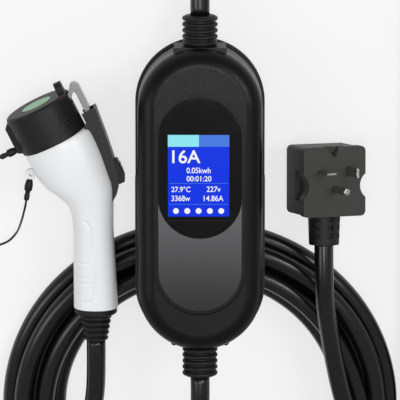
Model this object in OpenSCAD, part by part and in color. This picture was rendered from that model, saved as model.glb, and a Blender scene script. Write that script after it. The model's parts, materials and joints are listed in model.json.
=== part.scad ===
// Portable charger for electric cars: a control box in its wall holder, a charging gun with
// its dust cap, a mains plug and the cables between them, laid out together on a flat surface.

/* [Control box] */
// Width of the box, across its round ends
box_w = 84; // [80:1:90]
// Length of the box without its glands
box_l = 206; // [196:1:220]
// Thickness of the box from back to front
box_t = 48; // [44:1:54]
// Height of the rear shell, up to the gasket
rear_h = 20; // [18:1:24]
// Thickness of the shell walls
shell_wall = 2.5; // [2:0.1:3]
// Rounding of the front edge
front_round = 12; // [8:0.5:13]
// Rounding of the back edge
back_round = 6; // [4:0.5:8]
// Thickness of the gasket between the shells
gasket_t = 1; // [0.6:0.1:1.6]
// Angle at which the box leans back on the coil
box_tilt = 9.7; // [9:0.1:10.4]

/* [Face] */
// Width of the face panel
panel_w = 56; // [52:1:60]
// Length of the face panel
panel_l = 145; // [138:1:150]
// Thickness of the face panel
panel_t = 3; // [2.4:0.1:4]
// Width of the groove round the face panel
panel_groove = 2.8; // [1.5:0.1:3.5]
// Length of the display lens
lens_l = 95; // [90:1:110]
// Thickness of the display lens
lens_t = 1.4; // [1:0.1:2]
// Width of the screen
lcd_w = 43; // [38:0.5:46]
// Height of the screen
lcd_h = 57.5; // [50:0.5:60]
// Thickness of the screen module
lcd_t = 4; // [3:0.1:5]

/* [Wall holder] */
// Thickness of the holder's back plate
holder_t = 3; // [2.5:0.1:4]
// Thickness of the holder's side wall
holder_wall = 1.6; // [1.2:0.1:2.4]
// Height of the side wall above the back plane
holder_h = 22; // [16:1:26]
// Diameter of the holder's screw holes
holder_hole = 4.5; // [3.5:0.1:5.5]
// Distance between the holder's screw holes
holder_pitch = 44; // [30:1:50]

/* [Cables] */
// Diameter of both power cables
cable_d = 13; // [12:0.2:14]
// Outer diameter of the gland ribs
gland_d = 24; // [22:0.5:26]
// Length of the ribbed part of a gland
gland_l = 20.5; // [18:0.5:24]
// Number of ribs on a gland
gland_ribs = 5; // [4:1:6]
// Middle radius of the innermost lower turn of the coil
coil_r = 99.7; // [98:0.1:102]
// Distance between turns of the coil
coil_pitch = 15.4; // [14.4:0.1:16]

/* [Gun] */
// Diameter of the round nose
nose_d = 43; // [42:0.5:44]
// Length of the nose in front of the handle
nose_l = 24; // [20:0.5:25]
// Wall of the handle shells
gun_wall = 2.4; // [2:0.1:3]
// Wall of the dust cap round the nose
cap_wall = 1.45; // [1.2:0.05:2]
// Length of the dust cap
cap_l = 27.5; // [26.5:0.5:30]
// Angle between the nose and the handle
nose_lean = 26; // [24:0.5:28]
// Angle at which the gun dips towards its nose
gun_tilt = 6.6; // [6:0.1:7.5]

/* [Plug] */
// Width of the plug's front plate
plug_w = 45.5; // [42:0.5:47]
// Height of the plug's front plate
plug_h = 47.5; // [44:0.5:50]
// Depth of the plug from back to front
plug_t = 32; // [28:0.5:36]
// Length of the blades in front of the plate
blade_l = 18; // [16:0.5:20]
// Width of a blade
blade_w = 6.35; // [6:0.05:7]
// Thickness of a blade
blade_t = 1.5; // [1.3:0.1:1.8]
// Diameter of the earth pin
pin_d = 4.76; // [4.6:0.02:5]
// Length of the earth pin in front of the plate
pin_l = 21; // [20:0.5:22]
// Distance between the two blades
blade_pitch = 19.05; // [18:0.05:20]
// Angle at which the plug is rolled to its side
plug_roll = 22; // [16:1:24]
// Angle at which the plug leans on the coil
plug_tilt = 14; // [12:0.5:15]

/* [Hidden] */
$fn = 64;
// Running clearance and the small gap between resting pieces
clear = 0.3;
// Overlap that lets cutters pass through a face
eps = 0.01;

// Moves the whole layout so that the box and gun stand round the origin
shift = [46.15, -18.84, 0];

// Control box, derived
box_r = box_w / 2;
box_run = (box_l - box_w) / 2;
box_z0 = holder_t + clear;
face_z = box_z0 + box_t;
seam_z = box_z0 + rear_h;
panel_y = -1.8;
panel_floor = face_z - panel_t;
lens_y = panel_y + (panel_l - lens_l) / 2;
lcd_y = lens_y - 6;
cable_z = box_z0 + box_t / 2;
cable_r = cable_d / 2;
board_z = box_z0 + 9;
board_t = 1.6;
board_w = 66;
board_l = 140;
board_top = board_z + board_t;
boss_d = 7;
screw_d = 3;
board_screw_x = board_w / 2 - 5;
board_screw_y = board_l / 2 - 8;
shell_screw_r = box_r - shell_wall - 4.5;

// Holder, derived
holder_r = box_r + clear + holder_wall;
holder_half = box_run + holder_r;
holder_top = 12;
post_d = 4.4;
post_x = 17.5;
post_r = box_r + clear + post_d / 2;
holder_hole_y = 60;

// Coil, derived: three turns below and two in the grooves above
coil_cx = 0;
coil_cy = -149;
coil_in = coil_r - cable_r;
coil_out = coil_r + 2 * coil_pitch + cable_r;
coil_top_in = coil_r + coil_pitch / 2 - cable_r;
coil_top_out = coil_r + 1.5 * coil_pitch + cable_r;
coil_rise = sqrt(pow(cable_d, 2) - pow(coil_pitch / 2, 2));
coil_h = cable_d + coil_rise;
coil_soft = 3.5;

// The box rests with its far end on the surface and its back on the coil
box_pos = [0,
    coil_cy + coil_top_out - coil_soft + (coil_h + 2 * clear) / tan(box_tilt) - holder_half * cos(box_tilt),
    holder_half * sin(box_tilt)];
front_inner = face_z - panel_t - shell_wall;
front_z = seam_z + gasket_t;
shell_screw_x = 20;
shell_screw_y = box_run + 24;
shell_boss_d = 8;
head_d = 5.6;
head_h = 2.2;
flange = [35, 5, 28];
stub_d = 18;
stub_l = 4;

// Flat outline with round ends
module stadium(w, l) {
    square([w, l - w], center = true);
    for (s = [-1, 1]) translate([0, s * (l - w) / 2]) circle(d = w);
}

module stadium_plate(w, l, t) {
    linear_extrude(t) stadium(w, l);
}

// Half section of a round-ended box: lower edge rounded by low, upper edge by high
module half_section(r, h, low, high) {
    translate([0, low]) square([r, h - low - high]);
    square([r - low, h / 2]);
    translate([0, h / 2]) square([r - high, h / 2]);
    if (low > 0) translate([r - low, low]) circle(low);
    if (high > 0) translate([r - high, h - high]) circle(high);
}

// Round-ended box with softened edges
module pill(r, run, h, low, high) {
    for (turn = [0, 180]) rotate([0, 0, turn]) translate([0, run, 0])
        rotate_extrude(angle = 180) half_section(r, h, low, high);
    rotate([90, 0, 0]) linear_extrude(2 * run, center = true)
        for (side = [0, 1]) mirror([side, 0]) half_section(r, h, low, high);
}

// Puts a piece of the control box in its place in the layout
module on_box() {
    translate(shift + box_pos) rotate([-box_tilt, 0, 0]) children();
}

module at_corners(x, y) {
    for (sx = [-1, 1], sy = [-1, 1]) translate([sx * x, sy * y, 0]) children();
}

// Space that the two glands take from the shells and the gasket
module gland_room() {
    translate([-flange[0] / 2 - clear, box_l / 2 - flange[1] - clear, cable_z - flange[2] / 2 - clear])
        cube([flange[0] + 2 * clear, flange[1] + box_w, flange[2] + 2 * clear]);
    translate([0, 0, cable_z]) rotate([-90, 0, 0])
        translate([0, 0, -box_l]) cylinder(d = stub_d + 2 * clear, h = 2 * box_l);
    translate([0, -box_l / 2 + stub_l + clear, cable_z]) rotate([90, 0, 0])
        cylinder(d = gland_d + 2 * clear, h = box_w);
}

module rear_shell() {
    color("#3a3a3c") on_box() difference() {
        union() {
            difference() {
                translate([0, 0, box_z0]) pill(box_r, box_run, rear_h, back_round, 0);
                translate([0, 0, box_z0 + shell_wall])
                    pill(box_r - shell_wall, box_run, rear_h, back_round - shell_wall, 0);
            }
            translate([0, 0, box_z0 + shell_wall - eps])
                at_corners(board_screw_x, board_screw_y)
                    cylinder(d = boss_d, h = board_z - box_z0 - shell_wall + eps);
            translate([0, 0, box_z0 + shell_wall - eps])
                at_corners(shell_screw_x, shell_screw_y)
                    cylinder(d = shell_boss_d, h = front_z - box_z0 - shell_wall + eps);
        }
        gland_room();
        translate([0, 0, box_z0 + shell_wall]) at_corners(board_screw_x, board_screw_y)
            cylinder(d = screw_d, h = box_t);
        at_corners(shell_screw_x, shell_screw_y) {
            cylinder(d = screw_d + clear, h = box_t);
            cylinder(d = head_d + clear, h = box_z0 + head_h + clear);
        }
    }
}

module front_shell() {
    color("#424244") on_box() difference() {
        union() {
            difference() {
                translate([0, 0, front_z])
                    pill(box_r, box_run, face_z - front_z, 0, front_round);
                translate([0, 0, front_z - eps])
                    pill(box_r - shell_wall, box_run, front_inner - front_z + eps, 0,
                        front_round - shell_wall);
            }
            translate([0, 0, front_z]) at_corners(shell_screw_x, shell_screw_y)
                cylinder(d = shell_boss_d, h = front_inner - front_z + eps);
        }
        translate([0, panel_y, panel_floor])
            stadium_plate(panel_w + 2 * panel_groove, panel_l + 2 * panel_groove, box_t);
        translate([0, lcd_y, front_inner])
            cube([lcd_w + 2 * clear, lcd_h + 2 * clear, box_t], center = true);
        gland_room();
        at_corners(shell_screw_x, shell_screw_y) cylinder(d = screw_d, h = front_z + 12);
    }
}

module shell_gasket() {
    color("#1c1c1c") on_box() difference() {
        translate([0, 0, seam_z]) stadium_plate(box_w - clear, box_l - clear, gasket_t);
        translate([0, 0, seam_z - eps])
            stadium_plate(box_w - 2 * shell_wall, box_l - 2 * shell_wall, gasket_t + 2 * eps);
        gland_room();
    }
}

module face_panel() {
    color("#505052") on_box() difference() {
        translate([0, panel_y, panel_floor]) stadium_plate(panel_w, panel_l, panel_t);
        translate([0, lens_y, face_z - lens_t])
            stadium_plate(panel_w + 2 * clear, lens_l + 2 * clear, panel_t);
        translate([0, lcd_y, face_z])
            cube([lcd_w + 2 * clear, lcd_h + 2 * clear, box_t], center = true);
    }
}

module display_lens() {
    color("#08080a") on_box() translate([0, 0, face_z - lens_t]) difference() {
        translate([0, lens_y, 0]) stadium_plate(panel_w, lens_l, lens_t);
        translate([0, lcd_y, 0]) cube([lcd_w + clear, lcd_h + clear, box_t], center = true);
    }
}

module lcd_module() {
    rim = 3;
    color("#1f3fe0") on_box() translate([0, lcd_y, 0]) {
        translate([-lcd_w / 2, -lcd_h / 2, front_inner - eps])
            cube([lcd_w, lcd_h, face_z - clear - front_inner + eps]);
        translate([-lcd_w / 2 - rim, -lcd_h / 2 - rim, front_inner - lcd_t])
            cube([lcd_w + 2 * rim, lcd_h + 2 * rim, lcd_t]);
    }
}

module main_board() {
    color("#1d6b3c") on_box() translate([0, 0, board_z]) difference() {
        linear_extrude(board_t) square([board_w, board_l], center = true);
        translate([0, 0, -eps]) at_corners(board_screw_x, board_screw_y)
            cylinder(d = screw_d + clear, h = board_t + 2 * eps);
    }
}

// Parts on the board
relay = [20, 30, 17];
relay_gap = 10;
supply = [42, 32, 15];
terminal = [40, 12, 14];
sensor_d = 30;
sensor_h = 12;
buzzer_d = 10;
buzzer_h = 7;

// A block that stands on the board, centred at a place on it
module on_board(place, size) {
    on_box() translate([place[0] - size[0] / 2, place[1] - size[1] / 2, board_top]) cube(size);
}

module relays() {
    color("#16161a") for (s = [-1, 1]) on_board([s * (relay[0] + relay_gap) / 2, -board_l / 10], relay);
}

module power_supply() {
    color("#d8b54a") on_board([0, board_l / 5], supply);
}

module terminal_block() {
    color("#2c7a4a") on_board([0, board_l / 2 - terminal[1] / 2 - 2], terminal);
}

module leakage_sensor() {
    color("#2a2a2e") on_box() translate([0, sensor_d / 2 + 5 - board_l / 2, board_top]) difference() {
        cylinder(d = sensor_d, h = sensor_h);
        translate([0, 0, -eps]) cylinder(d = cable_d + 1, h = sensor_h + 2 * eps);
    }
}

module buzzer() {
    color("#101012") on_box() translate([board_w / 2 - buzzer_d / 2 - 1.5, 2 * board_l / 7, board_top]) difference() {
        cylinder(d = buzzer_d, h = buzzer_h);
        translate([0, 0, buzzer_h - 2]) cylinder(d = buzzer_d / 5, h = 3);
    }
}

// Pan-head screw standing with its thread downwards, head on z = 0
module pan_screw(shaft_d, shaft_l) {
    translate([0, 0, -shaft_l]) cylinder(d = shaft_d, h = shaft_l);
    difference() {
        cylinder(d = head_d, h = head_h);
        translate([0, 0, head_h]) cube([head_d - 1.6, 0.9, 1.6], center = true);
    }
}

module board_screws() {
    color("silver") on_box() translate([0, 0, board_top])
        at_corners(board_screw_x, board_screw_y) pan_screw(screw_d - 0.1, 6);
}

module shell_screws() {
    color("silver") on_box() translate([0, 0, box_z0 + head_h + clear])
        at_corners(shell_screw_x, shell_screw_y)
            mirror([0, 0, 1]) pan_screw(screw_d - 0.1, front_z + 10 - box_z0 - head_h);
}

// Section of a moulded strain relief: ribs on a core, from y = 0 to length
module rib_section(length, ribs, d_start, d_end, core) {
    pitch = length / ribs;
    square([core / 2, length]);
    for (i = [0 : ribs - 1])
        let (d = d_start + (d_end - d_start) * i / max(1, ribs - 1))
            translate([0, i * pitch + 0.15 * pitch]) {
                square([d / 2, 0.6 * pitch]);
                translate([0, -0.15 * pitch]) square([d / 2 - 0.8, 0.9 * pitch]);
            }
}

module strain_relief(length, ribs, d_start, d_end, core) {
    rotate([-90, 0, 0]) rotate_extrude() rib_section(length, ribs, d_start, d_end, core);
}

module upper_gland() {
    color("#202022") on_box() translate([0, 0, cable_z]) {
        translate([0, box_l / 2, 0])
            strain_relief(gland_l, gland_ribs, gland_d, gland_d, gland_d - 4.4);
        translate([-flange[0] / 2, box_l / 2 - flange[1], -flange[2] / 2])
            cube([flange[0], flange[1] + eps, flange[2]]);
        translate([0, box_l / 2 - flange[1] + eps, 0]) rotate([90, 0, 0]) cylinder(d = stub_d, h = stub_l);
    }
}

module lower_gland() {
    color("#202022") on_box() rotate([0, 0, 180]) translate([0, 0, cable_z]) {
        translate([0, box_l / 2 - eps, 0])
            strain_relief(gland_l, gland_ribs, gland_d, gland_d, gland_d - 4.4);
        translate([0, box_l / 2, 0]) rotate([90, 0, 0]) cylinder(d = gland_d, h = stub_l);
        translate([0, box_l / 2 - stub_l + eps, 0]) rotate([90, 0, 0]) cylinder(d = stub_d, h = stub_l);
    }
}

module wall_holder() {
    color("#171718") on_box() difference() {
        union() {
            stadium_plate(2 * holder_r, 2 * holder_half, holder_t);
            difference() {
                stadium_plate(2 * holder_r, 2 * holder_half, holder_h);
                translate([0, 0, holder_t])
                    stadium_plate(2 * (box_r + clear), 2 * (box_run + box_r + clear), holder_h);
                translate([-box_w, holder_top, holder_t]) cube([2 * box_w, box_l, holder_h]);
                translate([-post_x, -box_l, holder_t]) cube([2 * post_x, box_l, holder_h]);
            }
            for (s = [-1, 1])
                translate([s * post_x, -box_run - sqrt(pow(post_r, 2) - pow(post_x, 2)), 0])
                    cylinder(d = post_d, h = holder_h);
        }
        for (s = [-1, 1]) translate([s * holder_pitch / 2, holder_hole_y, -eps])
            cylinder(d = holder_hole, h = holder_t + 2 * eps);
    }
}

// Gun, derived. Its frame has the handle along y, the nose at the upper left and z across it.
rim_d = nose_d + 1;
rim_r = rim_d / 2;
rim_at = [-27.4, 121];
cap_r = nose_d / 2 + clear + cap_wall;
cap_tip = rim_at + cap_l * [-sin(nose_lean), cos(nose_lean)];
cap_low = (cap_tip[1] + cap_r * sin(nose_lean)) * sin(gun_tilt) + cap_r * cos(gun_tilt);
gun_pos = [-71, -67, cap_low];
grip_r = 15;
// Place in the gun's middle plane, given across and along the nose
function nose_flat(x, z) = [
    rim_at[0] + x * cos(nose_lean) - z * sin(nose_lean), rim_at[1] + x * sin(nose_lean) + z * cos(nose_lean)];
// Sections of the handle: left edge, right edge and half thickness, from the cable to the nose
handle_rows = [
    [-grip_r, 5, grip_r, 5, grip_r],
    [-15, 25, 14.2, 25, 15.5],
    [-15, 45, 13, 45, 16],
    [-15.2, 62, 12.3, 60, 16.5],
    [-18, 75, 12.4, 76, 17.5],
    [-25.5, 82.5, each nose_flat(rim_r - 0.2, -46), 19.2],
    [-33.5, 88.5, each nose_flat(rim_r + 1.8, -34.5), 20.8],
    [each nose_flat(-rim_r + 0.2, -17.2), each nose_flat(rim_r + 3.4, -21), rim_r - 0.2],
    [each nose_flat(-rim_r - 0.2, -8.6), each nose_flat(rim_r + 4, -9.6), rim_r],
    [each nose_flat(-rim_r - 0.1, -2.5), each nose_flat(rim_r + 3.5, -3), rim_r],
    [each nose_flat(-rim_r, 0), each nose_flat(rim_r, 0), rim_r]];
handle_sides = 28;
gun_gland_l = 19;
// Places of the bosses that hold the two handle shells together
gun_screw_at = [[-1, 20], [-2, 62], [-22, 104]];
gun_boss_d = 7;
gun_screw_z = -10;
gun_screw_l = 17;
switch_at = [-8, 88];
switch = [18, 6, 9];
switch_z = -4;

// Smooth curve through four values, from the second to the third
function blend(a, b, c, d, t) = 0.5 * (2 * b + (c - a) * t + (2 * a - 5 * b + 4 * c - d) * t * t
    + (3 * b - a - 3 * c + d) * t * t * t);
function smooth(list, steps) = let (last = len(list) - 1) [
    for (i = [0 : last - 1], k = [0 : steps - 1])
        blend(list[max(0, i - 1)], list[i], list[i + 1], list[min(last, i + 2)], k / steps),
    list[last]];
function squared(v) = sign(v) * pow(abs(v), 0.87);
function handle_ring(row, inset) =
    let (left = [row[0], row[1], 0], right = [row[2], row[3], 0], half = norm(right - left) / 2,
         along = (right - left) / (2 * half), middle = (left + right) / 2)
    [for (j = [0 : handle_sides - 1]) let (a = 360 * j / handle_sides)
        middle + along * (half - inset) * squared(cos(a))
        + [0, 0, (row[4] - inset) * squared(sin(a))]];
function moved(row, v) = row + [v[0], v[1], v[0], v[1], 0];

// Skin over rings that all have the same number of points
module skin(rings) {
    n = len(rings[0]);
    last = len(rings) - 1;
    polyhedron([for (r = rings) each r],
        [[for (j = [n - 1 : -1 : 0]) j],
         for (i = [0 : last - 1], j = [0 : n - 1]) let (k = (j + 1) % n)
             each [[i * n + j, i * n + k, (i + 1) * n + k], [i * n + j, (i + 1) * n + k, (i + 1) * n + j]],
         [for (j = [0 : n - 1]) last * n + j]], convexity = 6);
}

// Outside of the handle, pulled in by inset and lengthened at both ends by more
module handle_form(inset, more, steps) {
    rows = smooth(handle_rows, steps);
    last = len(rows) - 1;
    tip = [-sin(nose_lean), cos(nose_lean)];
    long = more == 0 ? rows : [moved(rows[0], [0, -more]), each rows, moved(rows[last], more * tip)];
    skin([for (r = long) handle_ring(r, inset)]);
}

module on_gun() {
    translate(shift + gun_pos) rotate([-gun_tilt, 0, 0]) children();
}

// Frame of the nose: z along its axis from the handle's rim, x towards the latch
module on_nose() {
    on_gun() nose_turn() children();
}

module nose_turn() {
    translate([rim_at[0], rim_at[1], 0]) rotate([0, 0, nose_lean]) rotate([-90, 0, 0]) children();
}

module gun_bosses(d, h) {
    for (p = gun_screw_at) translate([p[0], p[1], -h]) cylinder(d = d, h = 2 * h);
}

module gun_half(up) {
    reach = 200;
    on_gun() intersection() {
        translate([-reach / 2, -reach / 4, up ? 0 : -reach]) cube([reach, reach, reach]);
        difference() {
            union() {
                difference() {
                    handle_form(0, 0, 3);
                    handle_form(gun_wall, 2, 2);
                }
                intersection() {
                    handle_form(gun_wall / 2, 0, 2);
                    union() {
                        gun_bosses(gun_boss_d, rim_d);
                        if (!up) translate([switch_at[0] - switch[0] / 2, switch_at[1] - switch[1] / 2, -rim_d])
                            cube([switch[0], switch[1], rim_d + switch_z]);
                        nose_turn() from_rim() across(trough_form, cover_w + 1);
                    }
                }
            }
            nose_turn() from_rim() across(trough_room, cover_w - 2 * cover_wall);
            gun_bosses(screw_d, up ? 8 : rim_d);
            if (!up) for (p = gun_screw_at) translate([p[0], p[1], gun_screw_z - rim_d])
                cylinder(d = head_d + clear, h = rim_d);
        }
    }
}

module gun_shell_near() { color("#eceef0") gun_half(true); }
module gun_shell_far() { color("#eceef0") gun_half(false); }

module gun_screws() {
    color("silver") on_gun() for (p = gun_screw_at)
        translate([p[0], p[1], gun_screw_z]) mirror([0, 0, 1]) pan_screw(screw_d - 0.1, gun_screw_l);
}

module micro_switch() {
    color("#202024") on_gun() translate([switch_at[0] - switch[0] / 2, switch_at[1] - switch[1] / 2, switch_z])
        cube(switch);
}

module gun_gland() {
    collar_h = 5;
    spigot_h = 6;
    spigot_d = 2 * (grip_r - gun_wall) - 2;
    color("#2a2a2c") on_gun() {
        rotate([-90, 0, 0]) cylinder(d = 2 * grip_r - 1, h = collar_h);
        translate([0, collar_h - eps, 0]) rotate([-90, 0, 0]) cylinder(d = spigot_d, h = spigot_h);
        translate([0, eps, 0]) rotate([0, 0, 180])
            strain_relief(gun_gland_l, gland_ribs, gland_d - 2.5, cable_d + 3, cable_d + 0.5);
    }
}

// Places of the contacts on the end of the nose: two for power, one for earth, two for signals
power_at = nose_d * [[0.184, -0.158], [0.184, 0.158]];
earth_at = nose_d * [-0.2465, 0];
signal_at = nose_d * [[-0.13, -0.2465], [-0.13, 0.2465]];
power_d = 8;
signal_d = 5;
contact_l = 18;

module contact_bores(places, d) {
    for (p = places) translate([p[0], p[1], nose_l - contact_l - 1]) cylinder(d = d, h = nose_l);
}

module nose_insert() {
    color("#1a1a1c") on_nose() difference() {
        union() {
            cylinder(d = nose_d, h = nose_l);
            translate([0, 0, -6]) cylinder(d = rim_d - 2 * gun_wall - 4 * clear, h = 6 + eps);
        }
        contact_bores(power_at, power_d);
        contact_bores([earth_at], power_d);
        contact_bores(signal_at, signal_d);
    }
}

// Turned sockets that stand in the bores of the nose
module sockets(places, d) {
    on_nose() for (p = places) translate([p[0], p[1], nose_l - contact_l - 1]) difference() {
        cylinder(d = d - clear, h = contact_l);
        translate([0, 0, 4]) cylinder(d = d - 2, h = contact_l);
    }
}

module power_contacts() { color("#d9c27a") sockets(power_at, power_d); }
module earth_contact() { color("#d9c27a") sockets([earth_at], power_d); }
module signal_contacts() { color("#d9c27a") sockets(signal_at, signal_d); }

// Latch: a metal rocker with a hook at the nose and a button over the handle. Its outlines are given
// in the nose frame, x from the edge of the rim.
pivot_at = [7.2, -10];
pivot_d = 3;
pivot_skin = 0.5;
hook_w = 9;
button_z = [-46, -30];
cover_w = 15.2;
cover_wall = 1.5;
hook_outline = [[9.5, -10], [9.5, 27], [7.5, 30], [4.5, 30], [0.2, 24.5], [0.2, 22],
    [1.6, 21.6], [4.6, 25], [5.6, 23.4], [5.6, -10], [1.3, -45], [4.3, -45]];
cover_outline = [[13.4, 9], [12.4, 0], [11.4, -10], [9, -28], [6.6, -40], [3.7, -46.5],
    [0, -51], [-5, -54.5], [-9, -54.5], [-9, 9]];
cover_room = [[12, 10], [10.9, 0], [10.2, -10], [7.6, -28], [5.2, -39.5], [2.4, -45.7],
    [-1, -49.5], [-14, -49.5], [-14, 10]];
// Trough in the handle shells in which the rear arm of the rocker moves, and the block round it
trough_room = [[20, 5], [0.5, 5], [0.5, -8], [-1.4, -10], [-1.4, -30], [-4, -48], [20, -48]];
trough_form = [[20, -1], [-1.6, -1], [-1.6, -8], [-3.4, -10], [-3.4, -30], [-6, -50], [20, -50]];

// Extrudes an outline given in x and z of the nose frame, centred across it
module across(outline, w) {
    rotate([90, 0, 0]) linear_extrude(w, center = true) polygon(outline);
}

module from_rim() {
    translate([rim_r, 0, 0]) children();
}

module at_pivot(d, w) {
    translate([pivot_at[0], 0, pivot_at[1]]) rotate([90, 0, 0]) cylinder(d = d, h = w, center = true);
}

// Line of the rocker's upper face behind the pivot
function arm_top(z) = 9.5 + (z - pivot_at[1]) * 5.2 / 35;

module latch_hook() {
    color("#c8cacc") on_nose() from_rim() difference() {
        union() {
            across(hook_outline, hook_w);
            at_pivot(pivot_d + 2.2, hook_w);
        }
        at_pivot(pivot_d + clear, 2 * hook_w);
    }
}

module thumb_button() {
    dish_d = 3.4;
    color("#2b2b2d") on_nose() from_rim() difference() {
        intersection() {
            across([[arm_top(button_z[0]), button_z[0]], [8.5, button_z[0]], [10, button_z[0] + 3],
                [11.2, button_z[1] - 4], [10.4, button_z[1]], [arm_top(button_z[1]), button_z[1]]], hook_w + 1);
            translate([1, 0, button_z[0] - 1]) cylinder(r = 10.4, h = button_z[1] - button_z[0] + 4);
        }
        for (i = [1 : 4]) translate([12.2, 0, button_z[0] + i * dish_d]) rotate([90, 0, 0])
            cylinder(d = dish_d, h = 2 * hook_w, center = true);
    }
}

module latch_pivot() {
    color("silver") on_nose() from_rim() at_pivot(pivot_d - 0.1, cover_w - 2 * pivot_skin - 0.1);
}

module latch_cover() {
    color("#1d1d1f") on_nose() difference() {
        from_rim() difference() {
            across(cover_outline, cover_w);
            across(cover_room, cover_w - 2 * cover_wall);
            translate([3, 0, (button_z[0] + button_z[1]) / 2])
                cube([30, hook_w + 2, button_z[1] - button_z[0] + 2], center = true);
            at_pivot(pivot_d, cover_w - 2 * pivot_skin);
        }
        translate([0, 0, -2 * clear]) cylinder(r = cap_r + 3, h = cap_l);
        rotate([90, 0, 0]) rotate([0, 0, -nose_lean]) translate([-rim_at[0], -rim_at[1], 0])
            handle_form(-clear, 0, 3);
    }
}

// Return spring between the trough and the rear arm of the rocker
spring_z = -24;
spring_d = 4.6;
spring_wire = 0.9;
spring_turns = 4;
spring_from = -1.4;
spring_to = 4.1;

function spring_route(steps) = [for (i = [0 : spring_turns * steps])
    let (a = 360 * i / steps, r = (spring_d - spring_wire) / 2,
         rise = (spring_to - spring_from - spring_wire) * i / (spring_turns * steps))
    [spring_from + spring_wire / 2 + rise, r * sin(a), spring_z + r * cos(a)]];

// Ring of a tube round point i of a route
function tube_ring(route, i, d, sides) =
    let (last = len(route) - 1, run = route[min(last, i + 1)] - route[max(0, i - 1)], ahead = run / norm(run),
         level = cross(ahead, [0, 0, 1]), across = level / norm(level), upward = cross(across, ahead))
    [for (j = [0 : sides - 1]) let (a = 360 * j / sides)
        route[i] + d / 2 * (cos(a) * across + sin(a) * upward)];

module tube(route, d, sides) {
    skin([for (i = [0 : len(route) - 1]) tube_ring(route, i, d, sides)]);
}

module latch_spring() {
    color("silver") on_nose() from_rim() rotate([0, 90, 0])
        tube([for (p = spring_route(10)) [-p[2], p[1], p[0]]], spring_wire, 6);
}

// Dust cap, in the nose frame
cap_room = nose_l + 1;
notch_z = 18.5;
lug_w = 7;
lug_out = 3;
badge_d = 21.5;
badge_t = 0.8;

module dust_cap() {
    color("#1f2022") on_nose() difference() {
        union() {
            translate([0, 0, clear]) rotate_extrude() half_section(cap_r, cap_l - clear, 0, 2.5);
            across([[-cap_r + 1, 1], [-cap_r - lug_out, 3], [-cap_r - lug_out, cap_l - 6],
                [-cap_r + 1, cap_l - 2]], lug_w);
            translate([cap_r - 4.55, 0, cap_l - 3]) rotate([0, 90, 0]) linear_extrude(5, center = true) {
                translate([-6, 0]) circle(d = 9);
                translate([-6, -4.5]) square([6, 9]);
            }
            for (i = [0 : 4]) translate([0, 0, 3.4 + 2.8 * i]) rotate([0, 0, -72 + 3 * i])
                rotate_extrude(angle = 30) translate([cap_r - 0.6, 0]) square([1.3, 1.4]);
        }
        translate([0, 0, -eps]) cylinder(d = nose_d + 2 * clear, h = cap_room + eps);
        translate([nose_d / 2 + clear + 0.1, -hook_w / 2 - 1, notch_z]) cube([cap_r, hook_w + 2, cap_l]);
        translate([0, 0, cap_l - badge_t]) cylinder(d = badge_d + clear, h = 2);
    }
}

module cap_badge() {
    color("#7fbf8f") on_nose() translate([0, 0, cap_l - badge_t]) cylinder(d = badge_d, h = badge_t);
}

module cap_seal() {
    color("#3c3c3e") on_nose() translate([0, 0, nose_l]) difference() {
        cylinder(d = nose_d - 1, h = cap_room - nose_l);
        translate([0, 0, -eps]) cylinder(d = nose_d - 8, h = 2);
    }
}

// Tether of the cap
sleeve_d = 5.6;
sleeve_l = 12;
sleeve_z = 5;
tether_d = 1.6;
eyelet_at = nose_flat(-rim_r - 2.862, -14.02);
eyelet_d = 7;
eyelet_w = 5;
lower_sleeve_l = 15;
lower_sleeve_turn = 10;

module tether_sleeve_cap() {
    color("#1b1b1d") on_nose() translate([-cap_r - lug_out, 0, sleeve_z]) rotate([0, -90, 0])
        cylinder(d = sleeve_d, h = sleeve_l);
}

module tether_eyelet() {
    color("#e6e8ea") on_gun() difference() {
        translate([eyelet_at[0], eyelet_at[1], -eyelet_w / 2]) cylinder(d = eyelet_d, h = eyelet_w);
        translate([eyelet_at[0], eyelet_at[1], -eyelet_w]) cylinder(d = 2.4, h = 2 * eyelet_w);
        handle_form(-clear, 0, 3);
    }
}

module tether_sleeve_gun() {
    color("#1b1b1d") on_gun() translate([eyelet_at[0], eyelet_at[1], 0]) rotate([0, 0, -lower_sleeve_turn])
        translate([0, -eyelet_d / 2 - clear, 0]) rotate([90, 0, 0]) cylinder(d = sleeve_d, h = lower_sleeve_l);
}

// Places on the box, the gun and the plug in the layout
function tilted(p, a) = [p[0], p[1] * cos(a) + p[2] * sin(a), p[2] * cos(a) - p[1] * sin(a)];
function rolled(p, a) = [p[0] * cos(a) + p[2] * sin(a), p[1], p[2] * cos(a) - p[0] * sin(a)];
function box_point(p) = box_pos + tilted(p, box_tilt);
function gun_point(p) = gun_pos + tilted(p, gun_tilt);
function nose_point(x, z) = gun_point([each nose_flat(x, z), 0]);
function plug_point(p) = plug_pos + tilted(rolled(p, plug_roll), plug_tilt);

// Plug, derived. Its frame has the back on z = 0, the blades along z and the cable along -y.
plug_pos = [79, 21.1,
    (plug_w / 2 - 1.5) * sin(plug_roll) * cos(plug_tilt) + (plug_h / 2 - 1.5) * sin(plug_tilt)];
plug_round = 3.5;
plate_t = 8;
boot_l = 21;
boot_d = 22;
cord_z = 14;
blade_y = 7;
pin_y = -5;
root_l = 6;
root_d = pin_d - 0.8;
recess = [4.5, 20, 9];

module on_plug() {
    translate(shift + plug_pos) rotate([-plug_tilt, 0, 0]) rotate([0, plug_roll, 0]) children();
}

module round_rect(w, h, r) {
    square([w - 2 * r, h], center = true);
    square([w, h - 2 * r], center = true);
    for (sx = [-1, 1], sy = [-1, 1]) translate([sx * (w / 2 - r), sy * (h / 2 - r)]) circle(r);
}

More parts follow.
